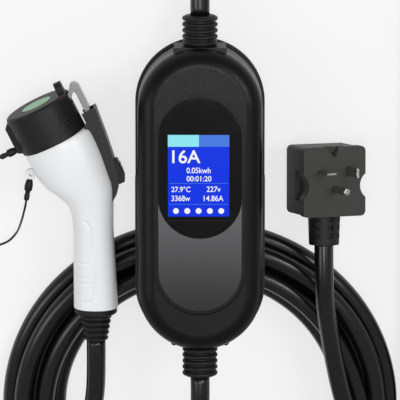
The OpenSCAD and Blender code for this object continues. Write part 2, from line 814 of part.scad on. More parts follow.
module plug_body() {
    color("#2a2a2c") on_plug() difference() {
        union() {
            linear_extrude(plug_t - plate_t + eps) round_rect(plug_w - 2, plug_h - 1, plug_round);
            translate([0, 0, plug_t - plate_t]) linear_extrude(plate_t)
                round_rect(plug_w, plug_h, plug_round);
        }
        for (s = [-1, 1]) {
            translate([s * (plug_w / 2 + 6), -3, plug_t - plate_t - 4]) cylinder(r = 10, h = 2 * plate_t);
            translate([s * plug_w / 2, -3, plug_t - plate_t - 1 - recess[2] / 2])
                cube([2 * recess[0], recess[1], recess[2]], center = true);
        }
        translate([0, plug_h / 2, plug_t]) rotate([0, 0, 45])
            cube([10.5, 10.5, 2 * plate_t + 3], center = true);
        translate([-blade_pitch / 2, blade_y, plug_t]) cube([blade_w, blade_t, 2 * root_l], center = true);
        translate([blade_pitch / 2, blade_y, plug_t]) cube([blade_t, blade_w, 2 * root_l], center = true);
        translate([0, pin_y, plug_t - root_l]) cylinder(d = root_d, h = 2 * root_l);
    }
}

// A flat contact blade with softened tip, standing on the plug's face and let into it
module blade(w, t) {
    soft = 1;
    translate([-w / 2, -t / 2, plug_t - root_l]) cube([w, t, blade_l + root_l - soft]);
    translate([-w / 2 + soft / 4, -t / 2 + soft / 4, plug_t]) cube([w - soft / 2, t - soft / 2, blade_l]);
}

module blade_horizontal() {
    color("#cfae5a") on_plug() translate([-blade_pitch / 2, blade_y, 0]) blade(blade_w, blade_t);
}

module blade_vertical() {
    color("#cfae5a") on_plug() translate([blade_pitch / 2, blade_y, 0]) rotate([0, 0, 90]) blade(blade_w, blade_t);
}

module earth_pin() {
    color("#cfae5a") on_plug() translate([0, pin_y, plug_t]) {
        rotate_extrude() half_section(pin_d / 2, pin_l, 0, 1.1);
        translate([0, 0, -root_l]) cylinder(d = root_d, h = root_l + eps);
    }
}

module plug_boot() {
    windows = 3;
    window = [3.2, 3, 4.2];
    pitch = (boot_l - 4) / windows;
    color("#232325") on_plug() translate([0, -plug_h / 2 + 0.5, cord_z]) rotate([0, 0, 180]) difference() {
        rotate([-90, 0, 0]) cylinder(d1 = boot_d, d2 = boot_d - 1.5, h = boot_l);
        for (row = [0 : windows - 1], turn = [40, 90, 140, 220, 270, 320])
            translate([0, 3.2 + row * pitch, 0]) rotate([0, turn, 0])
                translate([boot_d / 2 - 1, 0, 0]) cube(window, center = true);
    }
}

// Cable routes in the layout, from piece to piece
charge_route = [
    box_point([0, box_l / 2 + gland_l, cable_z]), box_point([0, box_l / 2 + gland_l + 12.5, cable_z]),
    [0.6, 171, 18.2], [8.6, 199, 13.4], [31, 222, 9.2], [63, 231, 7], [84, 231, 6.6], [116, 222.4, 6.6],
    [138.4, 200, 6.6], [147, 168, 6.6], for (y = [133 : -35 : -147]) [147, y, 6.6],
    [142, -178, 6.6], [131, -206, 6.6], [114, -231, 6.6], [93, -250, 6.6], [70, -262.5, 6.6], [45, -271.6, 6.6]];
gun_route = [
    gun_point([0, -gun_gland_l, 0]), gun_point([0, -gun_gland_l - 15, 0]), [-71.8, -123, 43.6], [-75, -144, 41],
    [-80.5, -165, 38], [-85.5, -185, 35], [-87.5, -204, 32], [-85.5, -220, 28.6], [-78.5, -236.5, 23.5],
    [-67.5, -250, 19], [-56, -258.3, 17.1]];
mains_route = [
    box_point([0, -box_l / 2 - gland_l, cable_z]), box_point([0, -box_l / 2 - gland_l - 20, cable_z]),
    [-1.5, -154, 66], [-4.5, -183, 57.5], [-5, -211, 46], [2.4, -239, 36.5], [25, -263, 31.5], [56, -271.5, 30.3],
    [85.5, -264, 30.3], [107, -243, 30.3], [115.5, -214, 30.3], [113, -185, 30.3], [105, -157, 30.3],
    [97.7, -131, 30.3], [92.7, -108, 30.8], [89, -86, 34.2], [86, -65, 39.3], [84.6, -48, 41.9],
    plug_point([0, -plug_h / 2 - boot_l - 12, cord_z]), plug_point([0, -plug_h / 2 - boot_l + 0.5, cord_z])];
tether_route = [
    nose_point(-cap_r - lug_out - sleeve_l, sleeve_z), nose_point(-cap_r - lug_out - sleeve_l - 5, sleeve_z),
    [-150, 32.5, 25], [-160, 20, 15], [-166.5, 4, 6], [-166, -13, 2.2], [-157.5, -27, 1.2], [-145, -33, 1.2],
    [-133.5, -30, 3], [-126, -20.5, 10], [-122, -8, 22], lower_sleeve_end(5), lower_sleeve_end(0)];
function lower_sleeve_end(more) =
    let (reach = eyelet_d / 2 + clear + lower_sleeve_l + more)
    gun_point([eyelet_at[0] - reach * sin(lower_sleeve_turn), eyelet_at[1] - reach * cos(lower_sleeve_turn), 0]);

module charge_lead() { color("#18181a") translate(shift) tube(charge_route, cable_d, 12); }
module gun_lead() { color("#18181a") translate(shift) tube(gun_route, cable_d, 12); }
module mains_lead() { color("#18181a") translate(shift) tube(mains_route, cable_d, 12); }
module tether_cord() { color("#18181a") translate(shift) tube(tether_route, tether_d, 8); }

module cable_coil() {
    color("#18181a") translate(shift + [coil_cx, coil_cy, 0]) rotate_extrude() polygon([
        [coil_in, 2], [coil_in + 2, 0], [coil_out - 2, 0], [coil_out, 2], [coil_out, cable_d - 3],
        [coil_top_out, coil_h - coil_soft], [coil_top_out - coil_soft, coil_h],
        [coil_top_in + coil_soft, coil_h], [coil_top_in, coil_h - coil_soft], [coil_in, cable_d - 3]]);
}

front_shell();
rear_shell();
shell_gasket();
face_panel();
display_lens();
lcd_module();
main_board();
relays();
leakage_sensor();
power_supply();
terminal_block();
buzzer();
board_screws();
shell_screws();
upper_gland();
lower_gland();
wall_holder();
gun_shell_near();
gun_shell_far();
nose_insert();
power_contacts();
earth_contact();
signal_contacts();
latch_cover();
latch_hook();
thumb_button();
latch_pivot();
latch_spring();
micro_switch();
gun_gland();
gun_screws();
dust_cap();
cap_badge();
cap_seal();
tether_sleeve_cap();
tether_sleeve_gun();
tether_eyelet();
tether_cord();
charge_lead();
cable_coil();
gun_lead();
mains_lead();
plug_body();
blade_horizontal();
blade_vertical();
earth_pin();
plug_boot();
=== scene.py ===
# %% [markdown]
# A portable charger for an electric car lies on a pale floor: the control box in its wall holder,
# the charging gun, a mains plug and one long cable in a coil. The solids of every hard piece come
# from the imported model. This lesson dresses them: it sets the camera, lays the cables at their real
# length, gives the moulded pieces soft edges and real finishes, and draws what the screen shows.

# %% Load the model
import json
import math

import bmesh
import bpy
from mathutils import Matrix, Vector


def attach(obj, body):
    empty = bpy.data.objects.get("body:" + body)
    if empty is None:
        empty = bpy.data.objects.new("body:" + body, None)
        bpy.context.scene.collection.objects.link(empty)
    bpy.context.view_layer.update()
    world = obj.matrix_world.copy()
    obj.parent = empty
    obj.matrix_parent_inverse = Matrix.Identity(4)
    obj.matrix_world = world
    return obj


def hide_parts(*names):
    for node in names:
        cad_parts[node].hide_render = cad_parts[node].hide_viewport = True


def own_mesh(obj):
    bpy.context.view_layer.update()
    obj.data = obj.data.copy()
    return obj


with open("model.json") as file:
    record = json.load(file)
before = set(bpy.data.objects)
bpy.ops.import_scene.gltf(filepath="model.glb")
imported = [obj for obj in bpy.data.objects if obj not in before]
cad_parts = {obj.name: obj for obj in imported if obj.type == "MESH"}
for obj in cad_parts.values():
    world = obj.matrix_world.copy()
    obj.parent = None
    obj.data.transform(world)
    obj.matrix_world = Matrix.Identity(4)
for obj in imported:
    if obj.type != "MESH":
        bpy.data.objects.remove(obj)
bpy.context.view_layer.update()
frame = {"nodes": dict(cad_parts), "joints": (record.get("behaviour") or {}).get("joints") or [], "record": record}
record = frame["record"]
MM = 0.001


# %% [markdown]
# Three groups of pieces lie at their own small angles: the box leans on the coil, the gun dips
# towards its nose and the plug is rolled to its side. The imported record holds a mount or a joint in
# each group, and its axis tells the tilt. A frame per group lets every detail below be placed in
# plain millimetres on the face of its own piece.

# %% Frames of the box, the gun and the plug
mounts = {m["name"]: m for m in record["mounts"]}
latch_joint = frame["joints"][0]


def group_frame(place, axis_up, local):
    """Matrix of a group whose local z is axis_up, and whose point local, in mm, lies at place."""
    up = Vector(axis_up).normalized()
    roll = math.asin(up.x)
    tilt = math.atan2(up.y, up.z)
    turn = Matrix.Rotation(-tilt, 4, "X") @ Matrix.Rotation(roll, 4, "Y")
    return Matrix.Translation(Vector(place) - turn @ (Vector(local) * MM)) @ turn @ Matrix.Scale(MM, 4)


HOLE_LEFT = Vector(mounts["holder_hole_left"]["pos_m"])
HOLE_RIGHT = Vector(mounts["holder_hole_right"]["pos_m"])
HOLE_Y, HOLE_Z = 60, 1.5
box_up = -Vector(mounts["holder_hole_left"]["axis"])
box_frame = group_frame((HOLE_LEFT + HOLE_RIGHT) / 2, box_up, (0, HOLE_Y, HOLE_Z))

RIM_AT = Vector((-27.4, 121, 0))
NOSE_LEAN = math.radians(26)
NOSE_X = Vector((math.cos(NOSE_LEAN), math.sin(NOSE_LEAN), 0))
NOSE_Z = Vector((-math.sin(NOSE_LEAN), math.cos(NOSE_LEAN), 0))
PIVOT_AT = RIM_AT + 29.2 * NOSE_X - 10 * NOSE_Z
gun_frame = group_frame(latch_joint["pos_m"], -Vector(latch_joint["axis"]), PIVOT_AT)
nose_turn = Matrix.Rotation(NOSE_LEAN, 4, "Z") @ Matrix.Rotation(-math.pi / 2, 4, "X")
nose_frame = gun_frame @ Matrix.Translation(RIM_AT) @ nose_turn

PLUG_T, PIN_Y, PIN_MID = 32, -5, 10
pin_mount = mounts["earth_pin_end"]
plug_frame = group_frame(pin_mount["pos_m"], pin_mount["axis"], (0, PIN_Y, PLUG_T + PIN_MID))
for name, group in (("box", box_frame), ("gun", gun_frame), ("plug", plug_frame)):
    print(name, "at", [round(v, 4) for v in group.translation])


# %% [markdown]
# The photograph looks down on the pieces from a long way off, leaning a little to the far end of the
# box. A long lens from three metres keeps the sides parallel, as a product picture does. One pixel of
# the photograph is a fixed length on the floor, so the lens follows from that scale alone.

# %% Camera
SHIFT = Vector((46.15, -18.84, 0)) * MM
PIXEL = 0.686 * MM
PHOTO_SIDE = 400
CAMERA_LEAN = math.radians(20)
CAMERA_FAR = 3.0
SENSOR = 36

camera_data = bpy.data.cameras.new("product_camera")
camera_data.sensor_width = SENSOR
camera_data.lens = SENSOR * CAMERA_FAR / (PHOTO_SIDE * PIXEL)
camera = bpy.data.objects.new("product_camera", camera_data)
bpy.context.scene.collection.objects.link(camera)
camera.location = SHIFT + CAMERA_FAR * Vector((0, math.sin(CAMERA_LEAN), math.cos(CAMERA_LEAN)))
camera.rotation_euler = (-CAMERA_LEAN, 0, 0)
bpy.context.scene.camera = camera
bpy.context.scene.view_settings.view_transform = "Standard"
print("lens", round(camera_data.lens, 1), "mm")


# %% [markdown]
# The charging cable is one length of about 4.7 m between the box and the gun, and most of it lies in a
# coil under the box: three turns on the floor and two in the grooves above them. A cable can't bend
# sharply, so its route is one smooth curve through a few given points, and the turns come from
# a loop. A mesh tube that carries its own UV map along the curve takes a jacket texture well.

# %% Helpers for smooth routes and tubes
def smooth_route(points, steps):
    """Points of a smooth curve through the given points, with steps on each stretch."""
    pts = [Vector(p) for p in points]
    last = len(pts) - 1
    route = []
    for i in range(last):
        a, b, c, d = pts[max(0, i - 1)], pts[i], pts[i + 1], pts[min(last, i + 2)]
        for k in range(steps):
            t = k / steps
            route.append(0.5 * (2 * b + (c - a) * t + (2 * a - 5 * b + 4 * c - d) * t * t
                                + (3 * b - a - 3 * c + d) * t * t * t))
    return route + [pts[last]]


def even_route(points, spacing):
    """The same curve with its points a fixed distance apart."""
    route, left = [points[0]], spacing
    for a, b in zip(points, points[1:]):
        run = (b - a).length
        while run >= left:
            a = a + (b - a) * (left / run)
            run = (b - a).length
            route.append(a)
            left = spacing
        left -= run
    return route + [points[-1]]


def route_length(points):
    return sum((b - a).length for a, b in zip(points, points[1:]))


def new_piece(name, mesh):
    piece = bpy.data.objects.new(name, mesh)
    bpy.context.scene.collection.objects.link(piece)
    return piece


def tube_mesh(name, route, radius, sides):
    """Closed tube along a route, with a UV map in metres: along the route and round it."""
    mesh = bmesh.new()
    uv = mesh.loops.layers.uv.new("UVMap")
    rings, side = [], None
    for i, p in enumerate(route):
        ahead = (route[min(len(route) - 1, i + 1)] - route[max(0, i - 1)]).normalized()
        side = side or ahead.cross(Vector((0, 0, 1)))
        side = (side - ahead * side.dot(ahead)).normalized()
        up = side.cross(ahead)
        turns = [2 * math.pi * j / sides for j in range(sides)]
        rings.append([mesh.verts.new(p + radius * (math.cos(a) * side + math.sin(a) * up)) for a in turns])
    along = 0
    for i in range(len(rings) - 1):
        step = (route[i + 1] - route[i]).length
        for j in range(sides):
            k = (j + 1) % sides
            face = mesh.faces.new((rings[i][j], rings[i][k], rings[i + 1][k], rings[i + 1][j]))
            face.smooth = True
            width = 2 * math.pi * radius / sides
            corners = ((along, j), (along, j + 1), (along + step, j + 1), (along + step, j))
            for loop, (u, v) in zip(face.loops, corners):
                loop[uv].uv = (u, v * width)
        along += step
    mesh.faces.new(rings[0][::-1])
    mesh.faces.new(rings[-1])
    bmesh.ops.recalc_face_normals(mesh, faces=mesh.faces)
    data = bpy.data.meshes.new(name)
    mesh.to_mesh(data)
    mesh.free()
    return data


# %% Route of the charging cable
CABLE_D = 13
CABLE_R = CABLE_D / 2
BOX_L, GLAND_L, CABLE_Z = 206, 20.5, 27.3


def on_frame(group, x, y, z):
    """A place in mm on a group, as a place in the layout in mm."""
    return (group @ Vector((x, y, z)) - SHIFT) / MM


box_exit = on_frame(box_frame, 0, BOX_L / 2 + GLAND_L, CABLE_Z)
FLOOR_Z = 6.6
down_side = [(147, 133 - 35 * i, FLOOR_Z) for i in range(9)]
charge_points = [
    box_exit, on_frame(box_frame, 0, BOX_L / 2 + GLAND_L + 12.5, CABLE_Z),
    (0.6, 171, 18.2), (8.6, 199, 13.4), (31, 222, 9.2), (63, 231, 7), (84, 231, FLOOR_Z),
    (116, 222.4, FLOOR_Z), (138.4, 200, FLOOR_Z), (147, 168, FLOOR_Z), *down_side,
    (142, -178, FLOOR_Z), (131, -206, FLOOR_Z), (114, -231, FLOOR_Z), (93, -250, FLOOR_Z),
    (70, -262.5, FLOOR_Z)]
GUN_GLAND_L = 19
gun_points = [
    on_frame(gun_frame, 0, -GUN_GLAND_L, 0), on_frame(gun_frame, 0, -GUN_GLAND_L - 15, 0),
    (-71.8, -123, 43.6), (-75, -144, 41), (-80.5, -165, 38), (-85.5, -185, 35), (-87.5, -204, 32),
    (-85.5, -220, 28.6), (-78.5, -236.5, 23.5), (-67.5, -250, 19)]

# %% Turns of the coil
COIL_AT = Vector((0, -149, 0))
COIL_FROM = -69.8
COIL_TURNS = 5
COIL_MORE = 50
COIL_STEP = 7.5
COIL_LOW, COIL_TOP, COIL_OVER = 6.6, 17.1, 19.8
# Each change of turn: where it starts and ends, in degrees turned, and the radius and height it leads to
COIL_CHANGES = [
    (345, 425, 115.1, COIL_LOW), (705, 785, 99.7, COIL_LOW), (1015, 1088, 107.4, COIL_OVER),
    (1130, 1175, 107.4, COIL_TOP), (1305, 1345, 107.4, COIL_OVER), (1345, 1415, 122.8, COIL_OVER),
    (1430, 1475, 122.8, COIL_TOP)]


def eased(t):
    t = min(1, max(0, t))
    return t * t * (3 - 2 * t)


def coil_point(turned):
    radius, height = 130.5, COIL_LOW
    for start, end, next_radius, next_height in COIL_CHANGES:
        share = eased((turned - start) / (end - start))
        radius += (next_radius - radius) * share
        height += (next_height - height) * share
    angle = math.radians(COIL_FROM - turned)
    return COIL_AT + Vector((radius * math.cos(angle), radius * math.sin(angle), height))


coil_end = 360 * COIL_TURNS + COIL_MORE
coil_points = [coil_point(COIL_STEP * i) for i in range(int(coil_end / COIL_STEP) + 1)]
cable_points = charge_points + coil_points + gun_points[::-1]
CABLE_SPACING = 5
cable_route = even_route([p * MM + SHIFT for p in smooth_route(cable_points, 4)], CABLE_SPACING * MM)
print("charging cable", round(route_length(cable_route), 3), "m")

# %% [markdown]
# The mains lead is short, about half a metre, because the box hangs near its outlet. It leaves the
# lower gland, drops on the coil, turns below the picture and comes up to the plug. The cap's tether
# is a thin cord that loops from the cap to an eyelet under the handle. Both repeat the listed
# points of their solids.

# %% Routes of the mains lead and the tether
PLUG_H, BOOT_L, CORD_Z = 47.5, 21, 14
mains_points = [
    on_frame(box_frame, 0, -BOX_L / 2 - GLAND_L, CABLE_Z),
    on_frame(box_frame, 0, -BOX_L / 2 - GLAND_L - 20, CABLE_Z),
    (-1.5, -154, 66), (-4.5, -183, 57.5), (-5, -211, 46), (2.4, -239, 36.5), (25, -263, 31.5),
    (56, -271.5, 30.3), (85.5, -264, 30.3), (107, -243, 30.3), (115.5, -214, 30.3), (113, -185, 30.3),
    (105, -157, 30.3), (97.7, -131, 30.3), (92.7, -108, 30.8), (89, -86, 34.2), (86, -65, 39.3),
    (84.6, -48, 41.9), on_frame(plug_frame, 0, -PLUG_H / 2 - BOOT_L - 12, CORD_Z),
    on_frame(plug_frame, 0, -PLUG_H / 2 - BOOT_L + 0.5, CORD_Z)]
mains_route = even_route([p * MM + SHIFT for p in smooth_route(mains_points, 8)], CABLE_SPACING * MM)

CAP_R, LUG_OUT, SLEEVE_L, SLEEVE_Z = 23.25, 3, 12, 5
EYELET_AT, EYELET_R, LOWER_SLEEVE_L = Vector((-43.6, 97.5, 0)), 3.5, 15
LOWER_TURN = math.radians(10)
CLEAR = 0.3
TETHER_D, TETHER_SPACING = 1.6, 1.5


def sleeve_end(more):
    """Place on the lower sleeve's line, so many mm past its end."""
    reach = EYELET_R + CLEAR + LOWER_SLEEVE_L + more
    place = EYELET_AT - reach * Vector((math.sin(LOWER_TURN), math.cos(LOWER_TURN), 0))
    return on_frame(gun_frame, *place)


cap_side = -CAP_R - LUG_OUT - SLEEVE_L
tether_points = [
    on_frame(nose_frame, cap_side, 0, SLEEVE_Z), on_frame(nose_frame, cap_side - 5, 0, SLEEVE_Z),
    (-150, 32.5, 25), (-160, 20, 15), (-166.5, 4, 6), (-166, -13, 2.2), (-157.5, -27, 1.2),
    (-145, -33, 1.2), (-133.5, -30, 3), (-126, -20.5, 10), (-122, -8, 22), sleeve_end(5), sleeve_end(0)]
tether_route = even_route([p * MM + SHIFT for p in smooth_route(tether_points, 8)], TETHER_SPACING * MM)
for name, route in (("mains lead", mains_route), ("tether", tether_route)):
    print(name, round(route_length(route), 3), "m")


# %% [markdown]
# Every finish starts from the real material. Colours are written as they look, in sRGB, and one
# function turns them to the linear values that the shader needs. One small helper adds a node with
# its settings and links, so each material below reads as a short list of what it is made of.

# %% Helpers for materials
def linear(hex_colour):
    """sRGB hex to linear RGBA."""
    parts = [int(hex_colour[i:i + 2], 16) / 255 for i in (1, 3, 5)]
    return tuple(c / 12.92 if c <= 0.04045 else ((c + 0.055) / 1.055) ** 2.4 for c in parts) + (1,)


def add_node(tree, kind, inputs=None, **settings):
    """Adds a node, sets its settings, and fills its inputs with values or with other nodes' sockets."""
    node = tree.nodes.new(kind)
    for name, value in settings.items():
        setattr(node, name, value)
    for name, value in (inputs or {}).items():
        socket = node.inputs[name]
        if isinstance(value, bpy.types.NodeSocket):
            tree.links.new(value, socket)
        else:
            socket.default_value = value
    return node


def new_material(name):
    """An empty material with its output node: returns the material, its tree and the shader node."""
    material = bpy.data.materials.new(name)
    material.use_nodes = True
    tree = material.node_tree
    return material, tree, tree.nodes["Principled BSDF"]


def per_mm(size):
    """Scale of a pattern on object coordinates whose grain has this size in mm."""
    return 1 / (size * MM)


def moulded(name, colour, shade, roughness, grain_mm, depth_mm, mirror=0.5):
    """Moulded plastic: a spark-eroded grain in the skin, faint flow shading and uneven gloss."""
    material, tree, shader = new_material(name)
    place = add_node(tree, "ShaderNodeTexCoord").outputs["Object"]
    flow = add_node(tree, "ShaderNodeTexNoise", {"Vector": place, "Scale": per_mm(45), "Detail": 3.0})
    grain = add_node(tree, "ShaderNodeTexNoise", {
        "Vector": place, "Scale": per_mm(grain_mm), "Detail": 2.0})
    tint = add_node(tree, "ShaderNodeMix", {"Factor": flow.outputs["Fac"]}, data_type="RGBA")
    tint.inputs["A"].default_value = linear(shade)
    tint.inputs["B"].default_value = linear(colour)
    gloss = add_node(tree, "ShaderNodeMapRange", {
        "Value": grain.outputs["Fac"], "From Min": 0.3, "From Max": 0.7,
        "To Min": roughness - 0.06, "To Max": roughness + 0.06})
    bump = add_node(tree, "ShaderNodeBump", {
        "Height": grain.outputs["Fac"], "Strength": 0.5, "Distance": depth_mm * MM})
    tree.links.new(tint.outputs["Result"], shader.inputs["Base Color"])
    tree.links.new(gloss.outputs["Result"], shader.inputs["Roughness"])
    tree.links.new(bump.outputs["Normal"], shader.inputs["Normal"])
    shader.inputs["IOR"].default_value = 1.53
    shader.inputs["Specular IOR Level"].default_value = mirror
    return material


# %% Finishes of the moulded pieces
# A grained skin traps part of the light that a smooth one would mirror, and a coarse grain traps more.
DULL, DULLER = 0.25, 0.16
# Spark-textured ABS: a nearly black skin that spreads the light into soft, wide highlights.
shell_abs = moulded("abs_spark_textured_black", "#09090a", "#060607", 0.36, 1.1, 0.05, DULLER)
# Black ABS of the holder, and the charcoal one of the latch: a finer grain than the shell.
black_abs = moulded("abs_fine_textured_black", "#1c1c1d", "#161617", 0.45, 0.9, 0.04, DULL)
latch_abs = moulded("abs_fine_textured_charcoal", "#2b2b2c", "#252526", 0.45, 0.9, 0.04, DULL)
# Grey PVC of the plug: paler than the box, with a dull, even skin.
plug_pvc = moulded("pvc_moulded_grey", "#383936", "#313230", 0.5, 1.0, 0.05, DULL)
# White polycarbonate blend of the gun: bright, satin, a little glossy on its edges.
white_pc = moulded("polycarbonate_satin_white", "#eff0f1", "#e8eaec", 0.36, 0.9, 0.02)
# Soft thermoplastic rubber of glands, cap and boots: deep black and dull.
soft_rubber = moulded("tpe_rubber_moulded_black", "#171718", "#111112", 0.5, 0.8, 0.05, DULL)
# Green lacquer printed on the badge of the cap.
badge_print = moulded("pad_printed_green", "#84c093", "#7ab689", 0.4, 0.7, 0.01)
# Inner pieces, which only show if the box is opened.
board_mask = moulded("solder_mask_green", "#1d6b3c", "#17582f", 0.4, 0.8, 0.02)
part_black = moulded("epoxy_moulded_black", "#18181a", "#121214", 0.5, 0.8, 0.03)
part_tape = moulded("polyester_tape_yellow", "#d8b54a", "#c8a53e", 0.4, 1.2, 0.02)


# %% [markdown]
# The face panel carries a painted reflection: its grey is lighter just under the lens and fades to the dark
# of the shell at its lower end. A ramp along the length of the box paints that light, read from the place
# on the panel and not from the camera, so the fade stays where it was painted. The lens is clear acrylic over
# black print. It has no grain at all, and that is what tells it from the moulded plastics.

# %% Face panel and lens
panel_abs = moulded("abs_grey_painted_reflection_fade", "#5c5c5e", "#565658", 0.36, 0.9, 0.03, DULL)
tree = panel_abs.node_tree
FADE_FROM, FADE_TO = 0.012, -0.075
along_box = add_node(tree, "ShaderNodeSeparateXYZ", {
    "Vector": add_node(tree, "ShaderNodeTexCoord").outputs["Object"]})
fade = add_node(tree, "ShaderNodeMapRange", {
    "Value": along_box.outputs["Y"], "From Min": FADE_TO, "From Max": FADE_FROM},
    interpolation_type="SMOOTHSTEP")
# Painted reflection: the panel's grey is lightest under the lens and fades to near black towards its lower end.
painted_reflection_mix = add_node(tree, "ShaderNodeMix", {"Factor": fade.outputs["Result"]}, data_type="RGBA")
painted_reflection_mix.inputs["A"].default_value = linear("#151516")
shader = tree.nodes["Principled BSDF"]
tree.links.new(shader.inputs["Base Color"].links[0].from_socket, painted_reflection_mix.inputs["B"])
tree.links.new(painted_reflection_mix.outputs["Result"], shader.inputs["Base Color"])

lens_acrylic, tree, shader = new_material("acrylic_back_printed_black")
wipes = add_node(tree, "ShaderNodeTexNoise", {
    "Vector": add_node(tree, "ShaderNodeTexCoord").outputs["Object"], "Scale": per_mm(12), "Detail": 4.0})
gloss = add_node(tree, "ShaderNodeMapRange", {"Value": wipes.outputs["Fac"], "To Min": 0.03, "To Max": 0.1})
tree.links.new(gloss.outputs["Result"], shader.inputs["Roughness"])
shader.inputs["Base Color"].default_value = linear("#070708")
shader.inputs["IOR"].default_value = 1.49
shader.inputs["Specular IOR Level"].default_value = DULL
print("panel fades over", round((FADE_FROM - FADE_TO) / MM), "mm")


# %% [markdown]
# Blades, contacts, screws and the latch hook are metal. What tells them apart is the tone of the metal
# and how the light streaks on it, so one function makes them all, with fine lines in one direction.

# %% Metals
def drawn_metal(name, colour, roughness, line_mm):
    """Metal with fine drawing or brushing lines: long in one direction, so that its gloss streaks."""
    material, tree, shader = new_material(name)
    place = add_node(tree, "ShaderNodeTexCoord").outputs["Object"]
    stretched = add_node(tree, "ShaderNodeMapping", {"Vector": place, "Scale": (1, 0.06, 1)})
    lines = add_node(tree, "ShaderNodeTexNoise", {
        "Vector": stretched.outputs["Vector"], "Scale": per_mm(line_mm), "Detail": 3.0})
    gloss = add_node(tree, "ShaderNodeMapRange", {
        "Value": lines.outputs["Fac"], "To Min": roughness - 0.06, "To Max": roughness + 0.06})
    bump = add_node(tree, "ShaderNodeBump", {
        "Height": lines.outputs["Fac"], "Strength": 0.04, "Distance": 0.02 * MM})
    tree.links.new(gloss.outputs["Result"], shader.inputs["Roughness"])
    tree.links.new(bump.outputs["Normal"], shader.inputs["Normal"])
    shader.inputs["Base Color"].default_value = linear(colour)
    shader.inputs["Metallic"].default_value = 1.0
    return material


hook_steel = drawn_metal("stainless_steel_brushed", "#858687", 0.3, 0.5)
screw_steel = drawn_metal("steel_zinc_plated", "#b9bcc0", 0.35, 0.5)
contact_brass = drawn_metal("brass_drawn", "#c9a75a", 0.28, 0.6)
blade_nickel = drawn_metal("brass_nickel_plated", "#a9a8a4", 0.24, 0.6)

# %% [markdown]
# The jacket is extruded through a die, which leaves very fine lines along the cable. They are drawn on
# the UV map of the tube, so that they follow every bend, and they break its highlight a little.

# %% Cable jacket
# Extruded TPU: deep black with a narrow, silky highlight along the cable.
jacket, tree, shader = new_material("tpu_extruded_black")
along = add_node(tree, "ShaderNodeUVMap", uv_map="UVMap").outputs["UV"]
drawn = add_node(tree, "ShaderNodeMapping", {"Vector": along, "Scale": (0.04, 1, 1)})
lines = add_node(tree, "ShaderNodeTexNoise", {
    "Vector": drawn.outputs["Vector"], "Scale": per_mm(1.2), "Detail": 2.0})
gloss = add_node(tree, "ShaderNodeMapRange", {"Value": lines.outputs["Fac"], "To Min": 0.18, "To Max": 0.3})
tint = add_node(tree, "ShaderNodeMix", {"Factor": lines.outputs["Fac"]}, data_type="RGBA")
tint.inputs["A"].default_value = linear("#0a0a0b")
tint.inputs["B"].default_value = linear("#111113")
bump = add_node(tree, "ShaderNodeBump", {
    "Height": lines.outputs["Fac"], "Strength": 0.35, "Distance": 0.05 * MM})
tree.links.new(tint.outputs["Result"], shader.inputs["Base Color"])
tree.links.new(gloss.outputs["Result"], shader.inputs["Roughness"])
tree.links.new(bump.outputs["Normal"], shader.inputs["Normal"])
shader.inputs["Specular IOR Level"].default_value = 0.4
print("materials:", len(bpy.data.materials))


# %% [markdown]
# Each cord is a tube along its route, with its thickness and the jacket finish. The charging cable stands for
# three solids: its two leads and the coil between them.

# %% Lay the cords
def cord_piece(name, route, diameter, sides, body="base"):
    piece = new_piece(name, tube_mesh(name, route, diameter * MM / 2, sides))
    piece.data.materials.append(jacket)
    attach(piece, body)
    return piece


charging_cable = cord_piece("charging_cable", cable_route, CABLE_D, 20)
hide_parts("charge_lead", "cable_coil", "gun_lead")
mains_lead = cord_piece("mains_supply_lead", mains_route, CABLE_D, 20)
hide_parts("mains_lead")
tether = cord_piece("cap_tether", tether_route, TETHER_D, 10)
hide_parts("tether_cord")


# %% [markdown]
# The solids have true curves but knife-sharp edges, and real mouldings never do. Each visible solid is
# copied, its loose triangles are merged and flat fields joined, and a small bevel rounds the edges.
# Normals weighted by face area then keep the flat fields flat, so that the light only rolls at the edge.

# %% Helper that dresses a solid
def settled(piece):
    """Replaces a piece's mesh by what its modifiers make of it, and removes them."""
    graph = bpy.context.evaluated_depsgraph_get()
    mesh = bpy.data.meshes.new_from_object(
        piece.evaluated_get(graph), preserve_all_data_layers=True, depsgraph=graph)
    piece.modifiers.clear()
    piece.data = mesh
    return piece


def finish_piece(piece, material, body, nodes=()):
    piece.data.materials.clear()
    piece.data.materials.append(material)
    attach(piece, body)
    if nodes:
        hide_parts(*nodes)
    return piece


def soften(piece, edge_mm, segments=2, sharp=28):
    """Rounds the sharp edges of a piece and weights its normals."""
    bevel = piece.modifiers.new("edge", "BEVEL")
    bevel.width = edge_mm * MM
    bevel.segments = segments
    bevel.limit_method = "ANGLE"
    bevel.angle_limit = math.radians(sharp)
    weight = piece.modifiers.new("normals", "WEIGHTED_NORMAL")
    weight.keep_sharp = True
    for polygon in piece.data.polygons:
        polygon.use_smooth = True
    return settled(piece)


def dress(node, material, edge_mm, segments=2, sharp=28, body="base"):
    """A copy of a solid with soft edges and a finish, which stands for that solid."""
    mesh = bmesh.new()
    mesh.from_mesh(frame["nodes"][node].data)
    bmesh.ops.remove_doubles(mesh, verts=mesh.verts, dist=0.005 * MM)
    bmesh.ops.dissolve_limit(mesh, angle_limit=math.radians(0.6), verts=mesh.verts, edges=mesh.edges)
    data = bpy.data.meshes.new(node + "_dressed")
    mesh.to_mesh(data)
    mesh.free()
    piece = new_piece(node + "_dressed", data)
    if edge_mm:
        soften(piece, edge_mm, segments, sharp)
    return finish_piece(piece, material, body, [node])


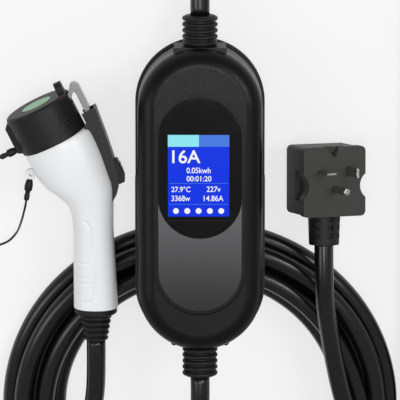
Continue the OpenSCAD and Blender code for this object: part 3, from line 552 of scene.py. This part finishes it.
# %% Dress the hard pieces
DRESSED = {
    "front_shell": (shell_abs, 0.5), "rear_shell": (shell_abs, 0.4), "face_panel": (panel_abs, 0.35),
    "wall_holder": (black_abs, 0.4), "dust_cap": (soft_rubber, 0.4), "cap_badge": (badge_print, 0.15),
    "latch_cover": (latch_abs, 0.6), "plug_body": (plug_pvc, 0.6), "plug_boot": (soft_rubber, 0.3),
    "blade_horizontal": (blade_nickel, 0.15), "blade_vertical": (blade_nickel, 0.15),
    "earth_pin": (blade_nickel, 0.1), "display_lens": (lens_acrylic, 0.25),
    "tether_eyelet": (white_pc, 0.3)}
for node, (material, edge) in DRESSED.items():
    dress(node, material, edge)
dress("latch_hook", hook_steel, 0.3, body="latch")
dress("thumb_button", latch_abs, 0.4, body="latch")
INNER = {
    board_mask: ["main_board", "terminal_block"], part_tape: ["power_supply"],
    part_black: ["relays", "leakage_sensor", "buzzer", "micro_switch", "nose_insert"],
    screw_steel: ["board_screws", "shell_screws", "gun_screws", "latch_pivot"],
    contact_brass: ["power_contacts", "earth_contact", "signal_contacts"],
    soft_rubber: ["cap_seal", "shell_gasket"], lens_acrylic: ["lcd_module"]}
for material, nodes in INNER.items():
    for node in nodes:
        for slot in frame["nodes"][node].material_slots:
            slot.material = material
print("dressed", len(DRESSED) + 2, "pieces")


# %% [markdown]
# The gun's body is two white shells, one on each side of a flat seam. The solid behind it is a loft with
# few sides, enough for its size but not for a glossy white skin. Here the same sections are lofted
# again with many more rings and points. Close rings also let the shell carry its shallow moulded
# lines: the edge of the grip pad and the cross lines on it are pressed in point by point.

# %% Sections of the handle
RIM_R, GRIP_R = 22, 15


def nose_flat(x, z):
    """Place in the gun's middle plane, in mm across and along the nose."""
    place = RIM_AT + x * NOSE_X + z * NOSE_Z
    return place.x, place.y


HANDLE_ROWS = [
    (-GRIP_R, 5, GRIP_R, 5, GRIP_R), (-15, 25, 14.2, 25, 15.5), (-15, 45, 13, 45, 16),
    (-15.2, 62, 12.3, 60, 16.5), (-18, 75, 12.4, 76, 17.5),
    (-25.5, 82.5, *nose_flat(RIM_R - 0.2, -46), 19.2), (-33.5, 88.5, *nose_flat(RIM_R + 1.8, -34.5), 20.8),
    (*nose_flat(0.2 - RIM_R, -17.2), *nose_flat(RIM_R + 3.4, -21), RIM_R - 0.2),
    (*nose_flat(-RIM_R - 0.2, -8.6), *nose_flat(RIM_R + 4, -9.6), RIM_R),
    (*nose_flat(-RIM_R - 0.1, -2.5), *nose_flat(RIM_R + 3.5, -3), RIM_R),
    (*nose_flat(-RIM_R, 0), *nose_flat(RIM_R, 0), RIM_R)]
PAD_EDGE = [Vector(p) for p in (
    (-7.5, 67.6), (-5.3, 66.7), (-3.3, 64), (-2.3, 60.5), (-1.7, 51.4), (-1, 37.5), (-0.3, 23.5),
    (0.2, 15.8), (-0.7, 12.6), (-3.5, 11.2), (-8, 10.6))]
PAD_LINES = (38.3, 28.1, 23.9, 17.2)
EDGE_DEEP, EDGE_WIDE, LINE_DEEP, LINE_WIDE = 0.9, 0.6, 0.35, 0.6


def edge_distance(place):
    """Distance of a place from the edge of the grip pad, and the x of that edge at its height."""
    best, side = 99, None
    for a, b in zip(PAD_EDGE, PAD_EDGE[1:]):
        share = min(1, max(0, (place - a).dot(b - a) / (b - a).length_squared))
        near = a.lerp(b, share)
        if (place - near).length < best:
            best, side = (place - near).length, near.x
    return best, side


def pressed(place):
    """How deep the moulded lines of the pad go at a place, in mm."""
    distance, edge_x = edge_distance(place)
    deep = EDGE_DEEP * math.exp(-(distance / EDGE_WIDE) ** 2)
    if place.x < edge_x - 3:
        deep += sum(LINE_DEEP * math.exp(-((place.y - y) / LINE_WIDE) ** 2) for y in PAD_LINES)
    return deep


# %% Loft of one half of the handle
SEAM = 0.25


def squared(v):
    return math.copysign(abs(v) ** 0.87, v)


def half_ring(row, side, points, lined):
    """Points of a half section, from the right edge over the crown to the left edge."""
    left, right = Vector((row[0], row[1], 0)), Vector((row[2], row[3], 0))
    middle, half = (left + right) / 2, (right - left) / 2
    ring = [middle + half * (1 - SEAM / half.length)]
    for j in range(points + 1):
        turn = math.pi * (0.004 + 0.992 * j / points)
        spread, rise = squared(math.cos(turn)), squared(math.sin(turn)) * row[4]
        place = middle + half * spread + Vector((0, 0, side * rise))
        if lined and rise > 4:
            place += (middle - place).normalized() * pressed(place.xy)
        ring.append(place)
    return ring + [middle - half * (1 - SEAM / half.length)]


def half_handle(name, side, steps, points, lined):
    """Closed half of the handle, with its flat seam face."""
    mesh = bmesh.new()
    rings = []
    for row in smooth_route(HANDLE_ROWS, steps):
        ring = half_ring(row, side, points, lined)
        rings.append([mesh.verts.new(gun_frame @ p) for p in ring])
    for low, high in zip(rings, rings[1:]):
        for j in range(len(low)):
            k = (j + 1) % len(low)
            mesh.faces.new((low[j], low[k], high[k], high[j]))
    mesh.faces.new(rings[0])
    mesh.faces.new(rings[-1])
    bmesh.ops.recalc_face_normals(mesh, faces=mesh.faces)
    data = bpy.data.meshes.new(name)
    mesh.to_mesh(data)
    mesh.free()
    return new_piece(name, data)


# %% Cutters for the latch trough and the screw wells
def prism(name, outline, group, wide):
    """Closed prism over an outline in x and z of a group, centred across it."""
    mesh = bmesh.new()
    near = [mesh.verts.new(group @ Vector((x, -wide / 2, z))) for x, z in outline]
    far = [mesh.verts.new(group @ Vector((x, wide / 2, z))) for x, z in outline]
    mesh.faces.new(near)
    mesh.faces.new(far[::-1])
    for j in range(len(near)):
        k = (j + 1) % len(near)
        mesh.faces.new((near[j], far[j], far[k], near[k]))
    bmesh.ops.recalc_face_normals(mesh, faces=mesh.faces)
    data = bpy.data.meshes.new(name)
    mesh.to_mesh(data)
    mesh.free()
    return new_piece(name, data)


TROUGH = [(20, 5), (0.5, 5), (0.5, -8), (-1.4, -10), (-1.4, -30), (-4, -48), (20, -48)]
TROUGH_W = 12.2
SCREW_AT = ((-1, 20), (-2, 62), (-22, 104))
SCREW_Z, WELL_D = -10, 5.9
rim_frame = nose_frame @ Matrix.Translation((RIM_R, 0, 0))
trough = prism("trough_cutter", TROUGH, rim_frame, TROUGH_W)
WELL_SIDES = 32
wells = []
for x, y in SCREW_AT:
    turns = [2 * math.pi * j / WELL_SIDES for j in range(WELL_SIDES)]
    circle = [(WELL_D / 2 * math.cos(a), WELL_D / 2 * math.sin(a)) for a in turns]
    upright = gun_frame @ Matrix.Translation((x, y, SCREW_Z - 20)) @ Matrix.Rotation(-math.pi / 2, 4, "X")
    wells.append(prism("well_cutter", circle, upright, 40))


def cut(piece, cutters):
    """Takes the cutters out of a piece."""
    for cutter in cutters:
        modifier = piece.modifiers.new("cut", "BOOLEAN")
        modifier.operation, modifier.object = "DIFFERENCE", cutter
    return settled(piece)


# %% Shells of the gun
SHARP = math.radians(38)
near_shell = cut(half_handle("gun_shell_near_smooth", 1, 26, 72, True), [trough])
far_shell = cut(half_handle("gun_shell_far_smooth", -1, 8, 48, False), [trough, *wells])
for piece, node in ((near_shell, "gun_shell_near"), (far_shell, "gun_shell_far")):
    piece.data.shade_smooth()
    piece.data.set_sharp_from_angle(angle=SHARP)
    finish_piece(piece, white_pc, "base", [node])
for cutter in [trough, *wells]:
    bpy.data.objects.remove(cutter)
print("gun shells:", len(near_shell.data.polygons), "and", len(far_shell.data.polygons), "faces")


# %% [markdown]
# A coil spring under the rear arm of the latch pushes it back. It is the one metal piece that changes
# its shape as the latch moves: its foot stays in the trough and its head goes down with the arm. It
# is drawn as a wire along a helix.

# %% Return spring of the latch
SPRING_Z, SPRING_D, SPRING_TURNS, WIRE_D = -24, 4.6, 4, 0.9
SPRING_FROM, SPRING_TO, SPRING_KEEP = -1.4, 4.1, 0.6
TURN_STEPS = 24
helix = []
for i in range(SPRING_TURNS * TURN_STEPS + 1):
    a = 2 * math.pi * i / TURN_STEPS
    up = SPRING_FROM + WIRE_D / 2 + (SPRING_TO - SPRING_FROM - WIRE_D) * i / (SPRING_TURNS * TURN_STEPS)
    r = (SPRING_D - WIRE_D) / 2
    helix.append(rim_frame @ Vector((up, r * math.sin(a), SPRING_Z + r * math.cos(a))))
spring = new_piece("latch_return_spring", tube_mesh("latch_return_spring", helix, WIRE_D * MM / 2, 10))
finish_piece(spring, screw_steel, "base", ["latch_spring"])
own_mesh(spring)
print("spring wire", round(1000 * route_length(helix)), "mm long")


# %% [markdown]
# Three strain reliefs have the same build: a rubber core with five round ribs, which get smaller towards
# the cable on the gun. What repeats is left to Geometry Nodes: a line of points gives the places, a
# circle swept round a circle gives one rib, and the tree sets a rib on each point. The sizes are
# inputs of the tree, so that one tree makes all three.

# %% Tree that sets ribs on a core
def new_tree(name, sockets):
    """Geometry tree with a mesh input and named inputs for its sizes."""
    tree = bpy.data.node_groups.new(name, "GeometryNodeTree")
    for label, kind in [("Core", "NodeSocketGeometry"), *sockets.items()]:
        tree.interface.new_socket(label, in_out="INPUT", socket_type=kind)
    tree.interface.new_socket("Result", in_out="OUTPUT", socket_type="NodeSocketGeometry")
    return tree, add_node(tree, "NodeGroupInput").outputs


def end_tree(tree, pieces, material):
    """Joins the pieces of a tree, makes them real and gives them their material."""
    joined = add_node(tree, "GeometryNodeJoinGeometry")
    for piece in pieces:
        tree.links.new(piece, joined.inputs["Geometry"])
    real = add_node(tree, "GeometryNodeRealizeInstances", {"Geometry": joined.outputs["Geometry"]})
    finish = add_node(tree, "GeometryNodeSetMaterial", {
        "Geometry": real.outputs["Geometry"], "Material": material})
    add_node(tree, "NodeGroupOutput", {"Result": finish.outputs["Geometry"]})


def grow(piece, tree, values):
    """Runs a tree on a piece with the given inputs, and keeps the result as a plain mesh."""
    modifier = piece.modifiers.new(tree.name, "NODES")
    modifier.node_group = tree
    for item in tree.interface.items_tree:
        if item.in_out == "INPUT" and item.name in values:
            modifier[item.identifier] = values[item.name]
    return settled(piece)


rib_tree, given = new_tree("strain_relief_ribs", {
    "Ribs": "NodeSocketInt", "Pitch": "NodeSocketFloat", "Ring": "NodeSocketFloat",
    "Rib": "NodeSocketFloat", "Taper": "NodeSocketFloat", "Material": "NodeSocketMaterial"})
step = add_node(rib_tree, "ShaderNodeCombineXYZ", {"Y": given["Pitch"]})
first = add_node(rib_tree, "ShaderNodeVectorMath", {0: step.outputs["Vector"], 1: (0, 0.5, 0)},
                 operation="MULTIPLY")
places = add_node(rib_tree, "GeometryNodeMeshLine", {
    "Count": given["Ribs"], "Start Location": first.outputs["Vector"], "Offset": step.outputs["Vector"]})
ring = add_node(rib_tree, "GeometryNodeCurvePrimitiveCircle", {"Resolution": 64, "Radius": given["Ring"]})
round_rib = add_node(rib_tree, "GeometryNodeCurvePrimitiveCircle", {
    "Resolution": 14, "Radius": given["Rib"]})
swept = add_node(rib_tree, "GeometryNodeCurveToMesh", {
    "Curve": ring.outputs["Curve"], "Profile Curve": round_rib.outputs["Curve"]})
last = add_node(rib_tree, "ShaderNodeMath", {0: given["Ribs"], 1: 1.0}, operation="SUBTRACT")
shrink = add_node(rib_tree, "ShaderNodeMapRange", {
    "Value": add_node(rib_tree, "GeometryNodeInputIndex").outputs["Index"],
    "From Max": last.outputs["Value"], "To Min": 1.0, "To Max": given["Taper"]})
ribs = add_node(rib_tree, "GeometryNodeInstanceOnPoints", {
    "Points": places.outputs["Mesh"], "Instance": swept.outputs["Mesh"], "Rotation": (math.pi / 2, 0, 0),
    "Scale": shrink.outputs["Result"]})
end_tree(rib_tree, [given["Core"], ribs.outputs["Instances"]], given["Material"])


# %% Strain reliefs of the box and the gun
def lathe(name, profile, sides=64):
    """Closed turned piece along y, from a profile of places along it and radii, in mm."""
    mesh = bmesh.new()
    rings = []
    for along, radius in profile:
        turns = [2 * math.pi * j / sides for j in range(sides)]
        rings.append([mesh.verts.new((radius * math.cos(a), along, radius * math.sin(a))) for a in turns])
    for low, high in zip(rings, rings[1:]):
        for j in range(sides):
            k = (j + 1) % sides
            mesh.faces.new((low[j], low[k], high[k], high[j]))
    mesh.faces.new(rings[0])
    mesh.faces.new(rings[-1])
    bmesh.ops.recalc_face_normals(mesh, faces=mesh.faces)
    data = bpy.data.meshes.new(name)
    mesh.to_mesh(data)
    mesh.free()
    return new_piece(name, data)


def add_plate(piece, low, high):
    """Adds a closed plate between two corners to the mesh of a piece."""
    mesh = bmesh.new()
    mesh.from_mesh(piece.data)
    size = Vector(high) - Vector(low)
    middle = (Vector(high) + Vector(low)) / 2
    bmesh.ops.create_cube(mesh, matrix=Matrix.Translation(middle) @ Matrix.Diagonal((*size, 1)))
    mesh.to_mesh(piece.data)
    mesh.free()


RIBS, GLAND_R, RIB_R = 5, 12, 1.5
CORE_R = GLAND_R - 2.1
FLANGE = (35, 5, 28)


def strain_relief(node, profile, place, length, outer, taper, plate=False):
    """Core and ribs of a strain relief, set in its place: stands for the solid of the same name."""
    piece = lathe(node + "_ribbed", profile)
    if plate:
        add_plate(piece, (-FLANGE[0] / 2, -FLANGE[1], -FLANGE[2] / 2), (FLANGE[0] / 2, 0, FLANGE[2] / 2))
    soften(piece, 0.3 / MM)
    grow(piece, rib_tree, {
        "Ribs": RIBS, "Pitch": length / RIBS, "Ring": outer - RIB_R, "Rib": RIB_R, "Taper": taper,
        "Material": soft_rubber})
    piece.data.transform(place)
    piece.data.shade_smooth()
    piece.data.set_sharp_from_angle(angle=SHARP)
    return finish_piece(piece, soft_rubber, "base", [node])


STUB_L, STUB_R = 4, 9
box_end = [(-FLANGE[1] - STUB_L, STUB_R), (0, STUB_R), (0, CORE_R), (GLAND_L, CORE_R),
           (GLAND_L, CABLE_R + 1)]
strain_relief("upper_gland", box_end, box_frame @ Matrix.Translation((0, BOX_L / 2, CABLE_Z)),
              GLAND_L, GLAND_R, 1.0, plate=True)
low_end = [(-2 * STUB_L, STUB_R), (-STUB_L, STUB_R), (-STUB_L, GLAND_R), (0, GLAND_R), (0, CORE_R),
           (GLAND_L, CORE_R), (GLAND_L, CABLE_R + 1)]
half_turn = Matrix.Rotation(math.pi, 4, "Z")
strain_relief("lower_gland", low_end, box_frame @ half_turn @ Matrix.Translation((0, BOX_L / 2, CABLE_Z)),
              GLAND_L, GLAND_R, 1.0)
COLLAR_R, COLLAR_H, GUN_GLAND_R = GRIP_R - 0.5, 5, 10.75
gun_end = [(-COLLAR_H - 6, GRIP_R - 3.4), (-COLLAR_H, GRIP_R - 3.4), (-COLLAR_H, COLLAR_R), (-1, COLLAR_R),
           (0, COLLAR_R - 1.4), (0, GUN_GLAND_R - 1.6), (GUN_GLAND_L, CABLE_R + 0.3)]
strain_relief("gun_gland", gun_end, gun_frame @ half_turn, GUN_GLAND_L, GUN_GLAND_R, 0.78)
print("strain reliefs: 3, each with", RIBS, "ribs")

# %% [markdown]
# Each end of the tether is held by a crimped rubber barrel: full in the middle, drawn in at a neck, with
# a short tail. It is a turned form, so one profile and one lathe make both of them.

# %% Sleeves at the two ends of the tether
SLEEVE_SHAPE = ((0, 1.5), (0.08, 2.3), (0.3, 2.8), (0.5, 2.7), (0.58, 1.7), (0.7, 1.6), (0.74, 1.9),
                (0.96, 1.8), (1, 1.2))


def sleeve(node, length, place):
    """Turned sleeve along y of a place: stands for the solid of the same name."""
    piece = lathe(node + "_crimped", [(share * length, radius) for share, radius in SLEEVE_SHAPE], 32)
    piece.data.transform(place)
    piece.data.shade_smooth()
    piece.data.set_sharp_from_angle(angle=SHARP)
    return finish_piece(piece, soft_rubber, "base", [node])


cap_lug = nose_frame @ Matrix.Translation((-CAP_R - LUG_OUT, 0, SLEEVE_Z))
sleeve("tether_sleeve_cap", SLEEVE_L, cap_lug @ Matrix.Rotation(math.pi / 2, 4, "Z"))
eyelet = gun_frame @ Matrix.Translation(EYELET_AT) @ Matrix.Rotation(-LOWER_TURN, 4, "Z") @ half_turn
sleeve("tether_sleeve_gun", LOWER_SLEEVE_L, eyelet @ Matrix.Translation((0, EYELET_R + CLEAR, 0)))
print("tether sleeves: 2")


# %% [markdown]
# The screen is lit from behind, so its colours come from emission and not from the lamps: written as
# they look, at a strength near one. Its fields are thin sheets, a few hundredths of a millimetre over
# the glass. Figures and units are Blender's own font turned to flat mesh, made a little bolder and
# stretched to the width and height they have on the screen. The two places that hold a name on the
# real screen stay plain.

# %% Materials of the lit screen
def lit(name, colour, strength):
    """Lit part of the screen: glass in front, and a faint mesh of picture cells in its light."""
    material, tree, shader = new_material(name)
    place = add_node(tree, "ShaderNodeTexCoord").outputs["Object"]
    cells = add_node(tree, "ShaderNodeTexNoise", {"Vector": place, "Scale": per_mm(0.6), "Detail": 1.0})
    level = add_node(tree, "ShaderNodeMapRange", {
        "Value": cells.outputs["Fac"], "To Min": strength - 0.04, "To Max": strength + 0.04})
    tree.links.new(level.outputs["Result"], shader.inputs["Emission Strength"])
    shader.inputs["Emission Color"].default_value = linear(colour)
    shader.inputs["Base Color"].default_value = linear("#06070c")
    shader.inputs["Roughness"].default_value = 0.12
    shader.inputs["Specular IOR Level"].default_value = 0.1
    return material


lit_blue = lit("lcd_backlit_royal_blue", "#0c35e6", 0.95)
lit_sky = lit("lcd_backlit_sky_blue", "#4a80e8", 0.9)
lit_cyan = lit("lcd_backlit_cyan", "#90eaf5", 0.95)
lit_white = lit("lcd_backlit_white", "#ffffff", 0.9)

# %% Fields and lines of the screen
LCD_W, LCD_H, LCD_Y, LCD_Z = 43, 57.5, 17.2, 51.0
LAYER = 0.05
LIT_W, LIT_H = 41.1, 55.4
STRIP_H, STRIP_SPLIT = 8, 20.8
RULES, RULE_H = (32.7, 46.9), 0.35


def on_screen(u, v, layer):
    """Place on the screen, in mm from its left and top edges, as a place in the box frame."""
    return box_frame @ Vector((u - LCD_W / 2, LCD_Y + LCD_H / 2 - v, LCD_Z + layer * LAYER))


def screen_sheet(name, fields, layer, material):
    """Flat rectangles on the screen, each given by its left, top, right and lower edges."""
    corners, faces = [], []
    for left, top, right, low in fields:
        faces.append([len(corners) + i for i in range(4)])
        outline = ((left, low), (right, low), (right, top), (left, top))
        corners += [on_screen(u, v, layer) for u, v in outline]
    data = bpy.data.meshes.new(name)
    data.from_pydata(corners, [], faces)
    return finish_piece(new_piece(name, data), material, "base")


screen_sheet("screen_field", [(0, STRIP_H, LIT_W, LIT_H)], 1, lit_blue)
screen_sheet("screen_strip_left", [(0, 0, STRIP_SPLIT, STRIP_H)], 1, lit_cyan)
screen_sheet("screen_strip_right", [(STRIP_SPLIT, 0, LIT_W, STRIP_H)], 1, lit_sky)
screen_sheet("screen_rules", [(0.8, v, LIT_W - 0.8, v + RULE_H) for v in RULES], 2, lit_sky)


# %% Figures of the screen
BOLDER = 0.012


def lettering(text, left, top, wide, tall):
    """Flat mesh of a text that fills a box on the screen: its corners and its faces."""
    curve = bpy.data.curves.new("lettering", "FONT")
    curve.body = text
    curve.offset = BOLDER
    source = new_piece("lettering", curve)
    graph = bpy.context.evaluated_depsgraph_get()
    mesh = bpy.data.meshes.new_from_object(source.evaluated_get(graph))
    xs, ys = [v.co.x for v in mesh.vertices], [v.co.y for v in mesh.vertices]
    grow_x, grow_y = wide / (max(xs) - min(xs)), tall / (max(ys) - min(ys))
    corners = [on_screen(left + (x - min(xs)) * grow_x, top + (max(ys) - y) * grow_y, 2)
               for x, y in zip(xs, ys)]
    faces = [list(p.vertices) for p in mesh.polygons]
    bpy.data.objects.remove(source)
    return corners, faces


# Each figure: its text, then the left and top, width and height of its box in mm
FIGURES = [
    ("16A", 2.9, 10.2, 18.9, 9), ("0.05kwh", 12.5, 22.1, 16.1, 3.9), ("00:01:20", 12.5, 27.8, 16.6, 3.7),
    ("27.9°C", 2.4, 34.9, 12.7, 3.9), ("227v", 25.9, 34.9, 9.4, 3.8),
    ("3368w", 2.4, 41.1, 12.5, 3.8), ("14.86A", 24, 41.1, 13.2, 3.8)]
corners, faces = [], []
for figure in FIGURES:
    more, made = lettering(*figure)
    faces += [[i + len(corners) for i in face] for face in made]
    corners += more
data = bpy.data.meshes.new("screen_figures")
data.from_pydata(corners, [], faces)
finish_piece(new_piece("screen_figures", data), lit_white, "base")
print("screen figures:", len(FIGURES))

# %% Row of dots on the screen
dot_tree, given = new_tree("screen_dots", {
    "Dots": "NodeSocketInt", "Pitch": "NodeSocketFloat", "Radius": "NodeSocketFloat",
    "Material": "NodeSocketMaterial"})
step = add_node(dot_tree, "ShaderNodeCombineXYZ", {"X": given["Pitch"]})
places = add_node(dot_tree, "GeometryNodeMeshLine", {
    "Count": given["Dots"], "Offset": step.outputs["Vector"]})
disc = add_node(dot_tree, "GeometryNodeMeshCircle", {"Vertices": 40, "Radius": given["Radius"]},
                fill_type="NGON")
dots = add_node(dot_tree, "GeometryNodeInstanceOnPoints", {
    "Points": places.outputs["Mesh"], "Instance": disc.outputs["Mesh"]})
end_tree(dot_tree, [given["Core"], dots.outputs["Instances"]], given["Material"])
DOTS, DOT_FIRST, DOT_PITCH, DOT_V, DOT_R = 5, 5.4, 7.58, 51.6, 1.95
row = new_piece("screen_dots", bpy.data.meshes.new("screen_dots"))
grow(row, dot_tree, {"Dots": DOTS, "Pitch": DOT_PITCH, "Radius": DOT_R, "Material": lit_white})
first_dot = (DOT_FIRST - LCD_W / 2, LCD_Y + LCD_H / 2 - DOT_V, LCD_Z + 2 * LAYER)
row.data.transform(box_frame @ Matrix.Translation(first_dot))
finish_piece(row, lit_white, "base")
print("screen dots:", DOTS)


# %% [markdown]
# A product picture has a pale floor and wide, soft lamps, so that dark plastics show long highlights
# and the white gun still has shade on its sides. Large area lamps give that, with a pale world as fill.
# The floor is lifted towards white only for the camera and for reflections, so it keeps its shadows.

# %% Floor and light
FLOOR_SIDE = 6
floor_mesh = bpy.data.meshes.new("floor")
half = FLOOR_SIDE / 2
corners = [(-half, -half, 0), (half, -half, 0), (half, half, 0), (-half, half, 0)]
floor_mesh.from_pydata(corners, [], [(0, 1, 2, 3)])
floor = new_piece("floor", floor_mesh)
floor.location = (0, 0, -0.0005)
paper, tree, shader = new_material("studio_paper_white")
shader.inputs["Base Color"].default_value = linear("#eeeeee")
shader.inputs["Roughness"].default_value = 0.9
shader.inputs["Specular IOR Level"].default_value = 0.1
rays = add_node(tree, "ShaderNodeLightPath").outputs
seen = add_node(tree, "ShaderNodeMath", {0: rays["Is Camera Ray"], 1: rays["Is Glossy Ray"]},
                operation="ADD")
seen = add_node(tree, "ShaderNodeMath", {0: seen.outputs["Value"], 1: rays["Is Transmission Ray"]},
                operation="ADD")
LIFT = 0.7
lift = add_node(tree, "ShaderNodeMath", {0: seen.outputs["Value"], 1: LIFT}, operation="MULTIPLY")
pale = add_node(tree, "ShaderNodeEmission", {"Color": linear("#fdfdfd"), "Strength": 1.0})
both = add_node(tree, "ShaderNodeMixShader", {
    0: lift.outputs["Value"], 1: shader.outputs["BSDF"], 2: pale.outputs["Emission"]})
tree.links.new(both.outputs["Shader"], tree.nodes["Material Output"].inputs["Surface"])
floor.data.materials.append(paper)

world = bpy.data.worlds.new("studio")
bpy.context.scene.world = world
world.use_nodes = True
world.node_tree.nodes["Background"].inputs["Color"].default_value = linear("#ffffff")
world.node_tree.nodes["Background"].inputs["Strength"].default_value = 0.42


def soft_lamp(name, place, aim, size, power):
    data = bpy.data.lights.new(name, "AREA")
    data.shape = "RECTANGLE"
    data.size, data.size_y = size
    data.energy = power
    lamp = bpy.data.objects.new(name, data)
    bpy.context.scene.collection.objects.link(lamp)
    lamp.location = place
    lamp.rotation_euler = (Vector(aim) - Vector(place)).to_track_quat("-Z", "Y").to_euler()


soft_lamp("key_lamp", (1.4, 0.9, 2.0), (0, 0, 0), (0.9, 0.9), 20)
soft_lamp("top_lamp", (0.1, 0.5, 2.4), (0, 0, 0), (0.7, 0.7), 15)
soft_lamp("side_lamp", (-1.7, 0.1, 1.6), (0, 0, 0), (0.5, 1.4), 9)
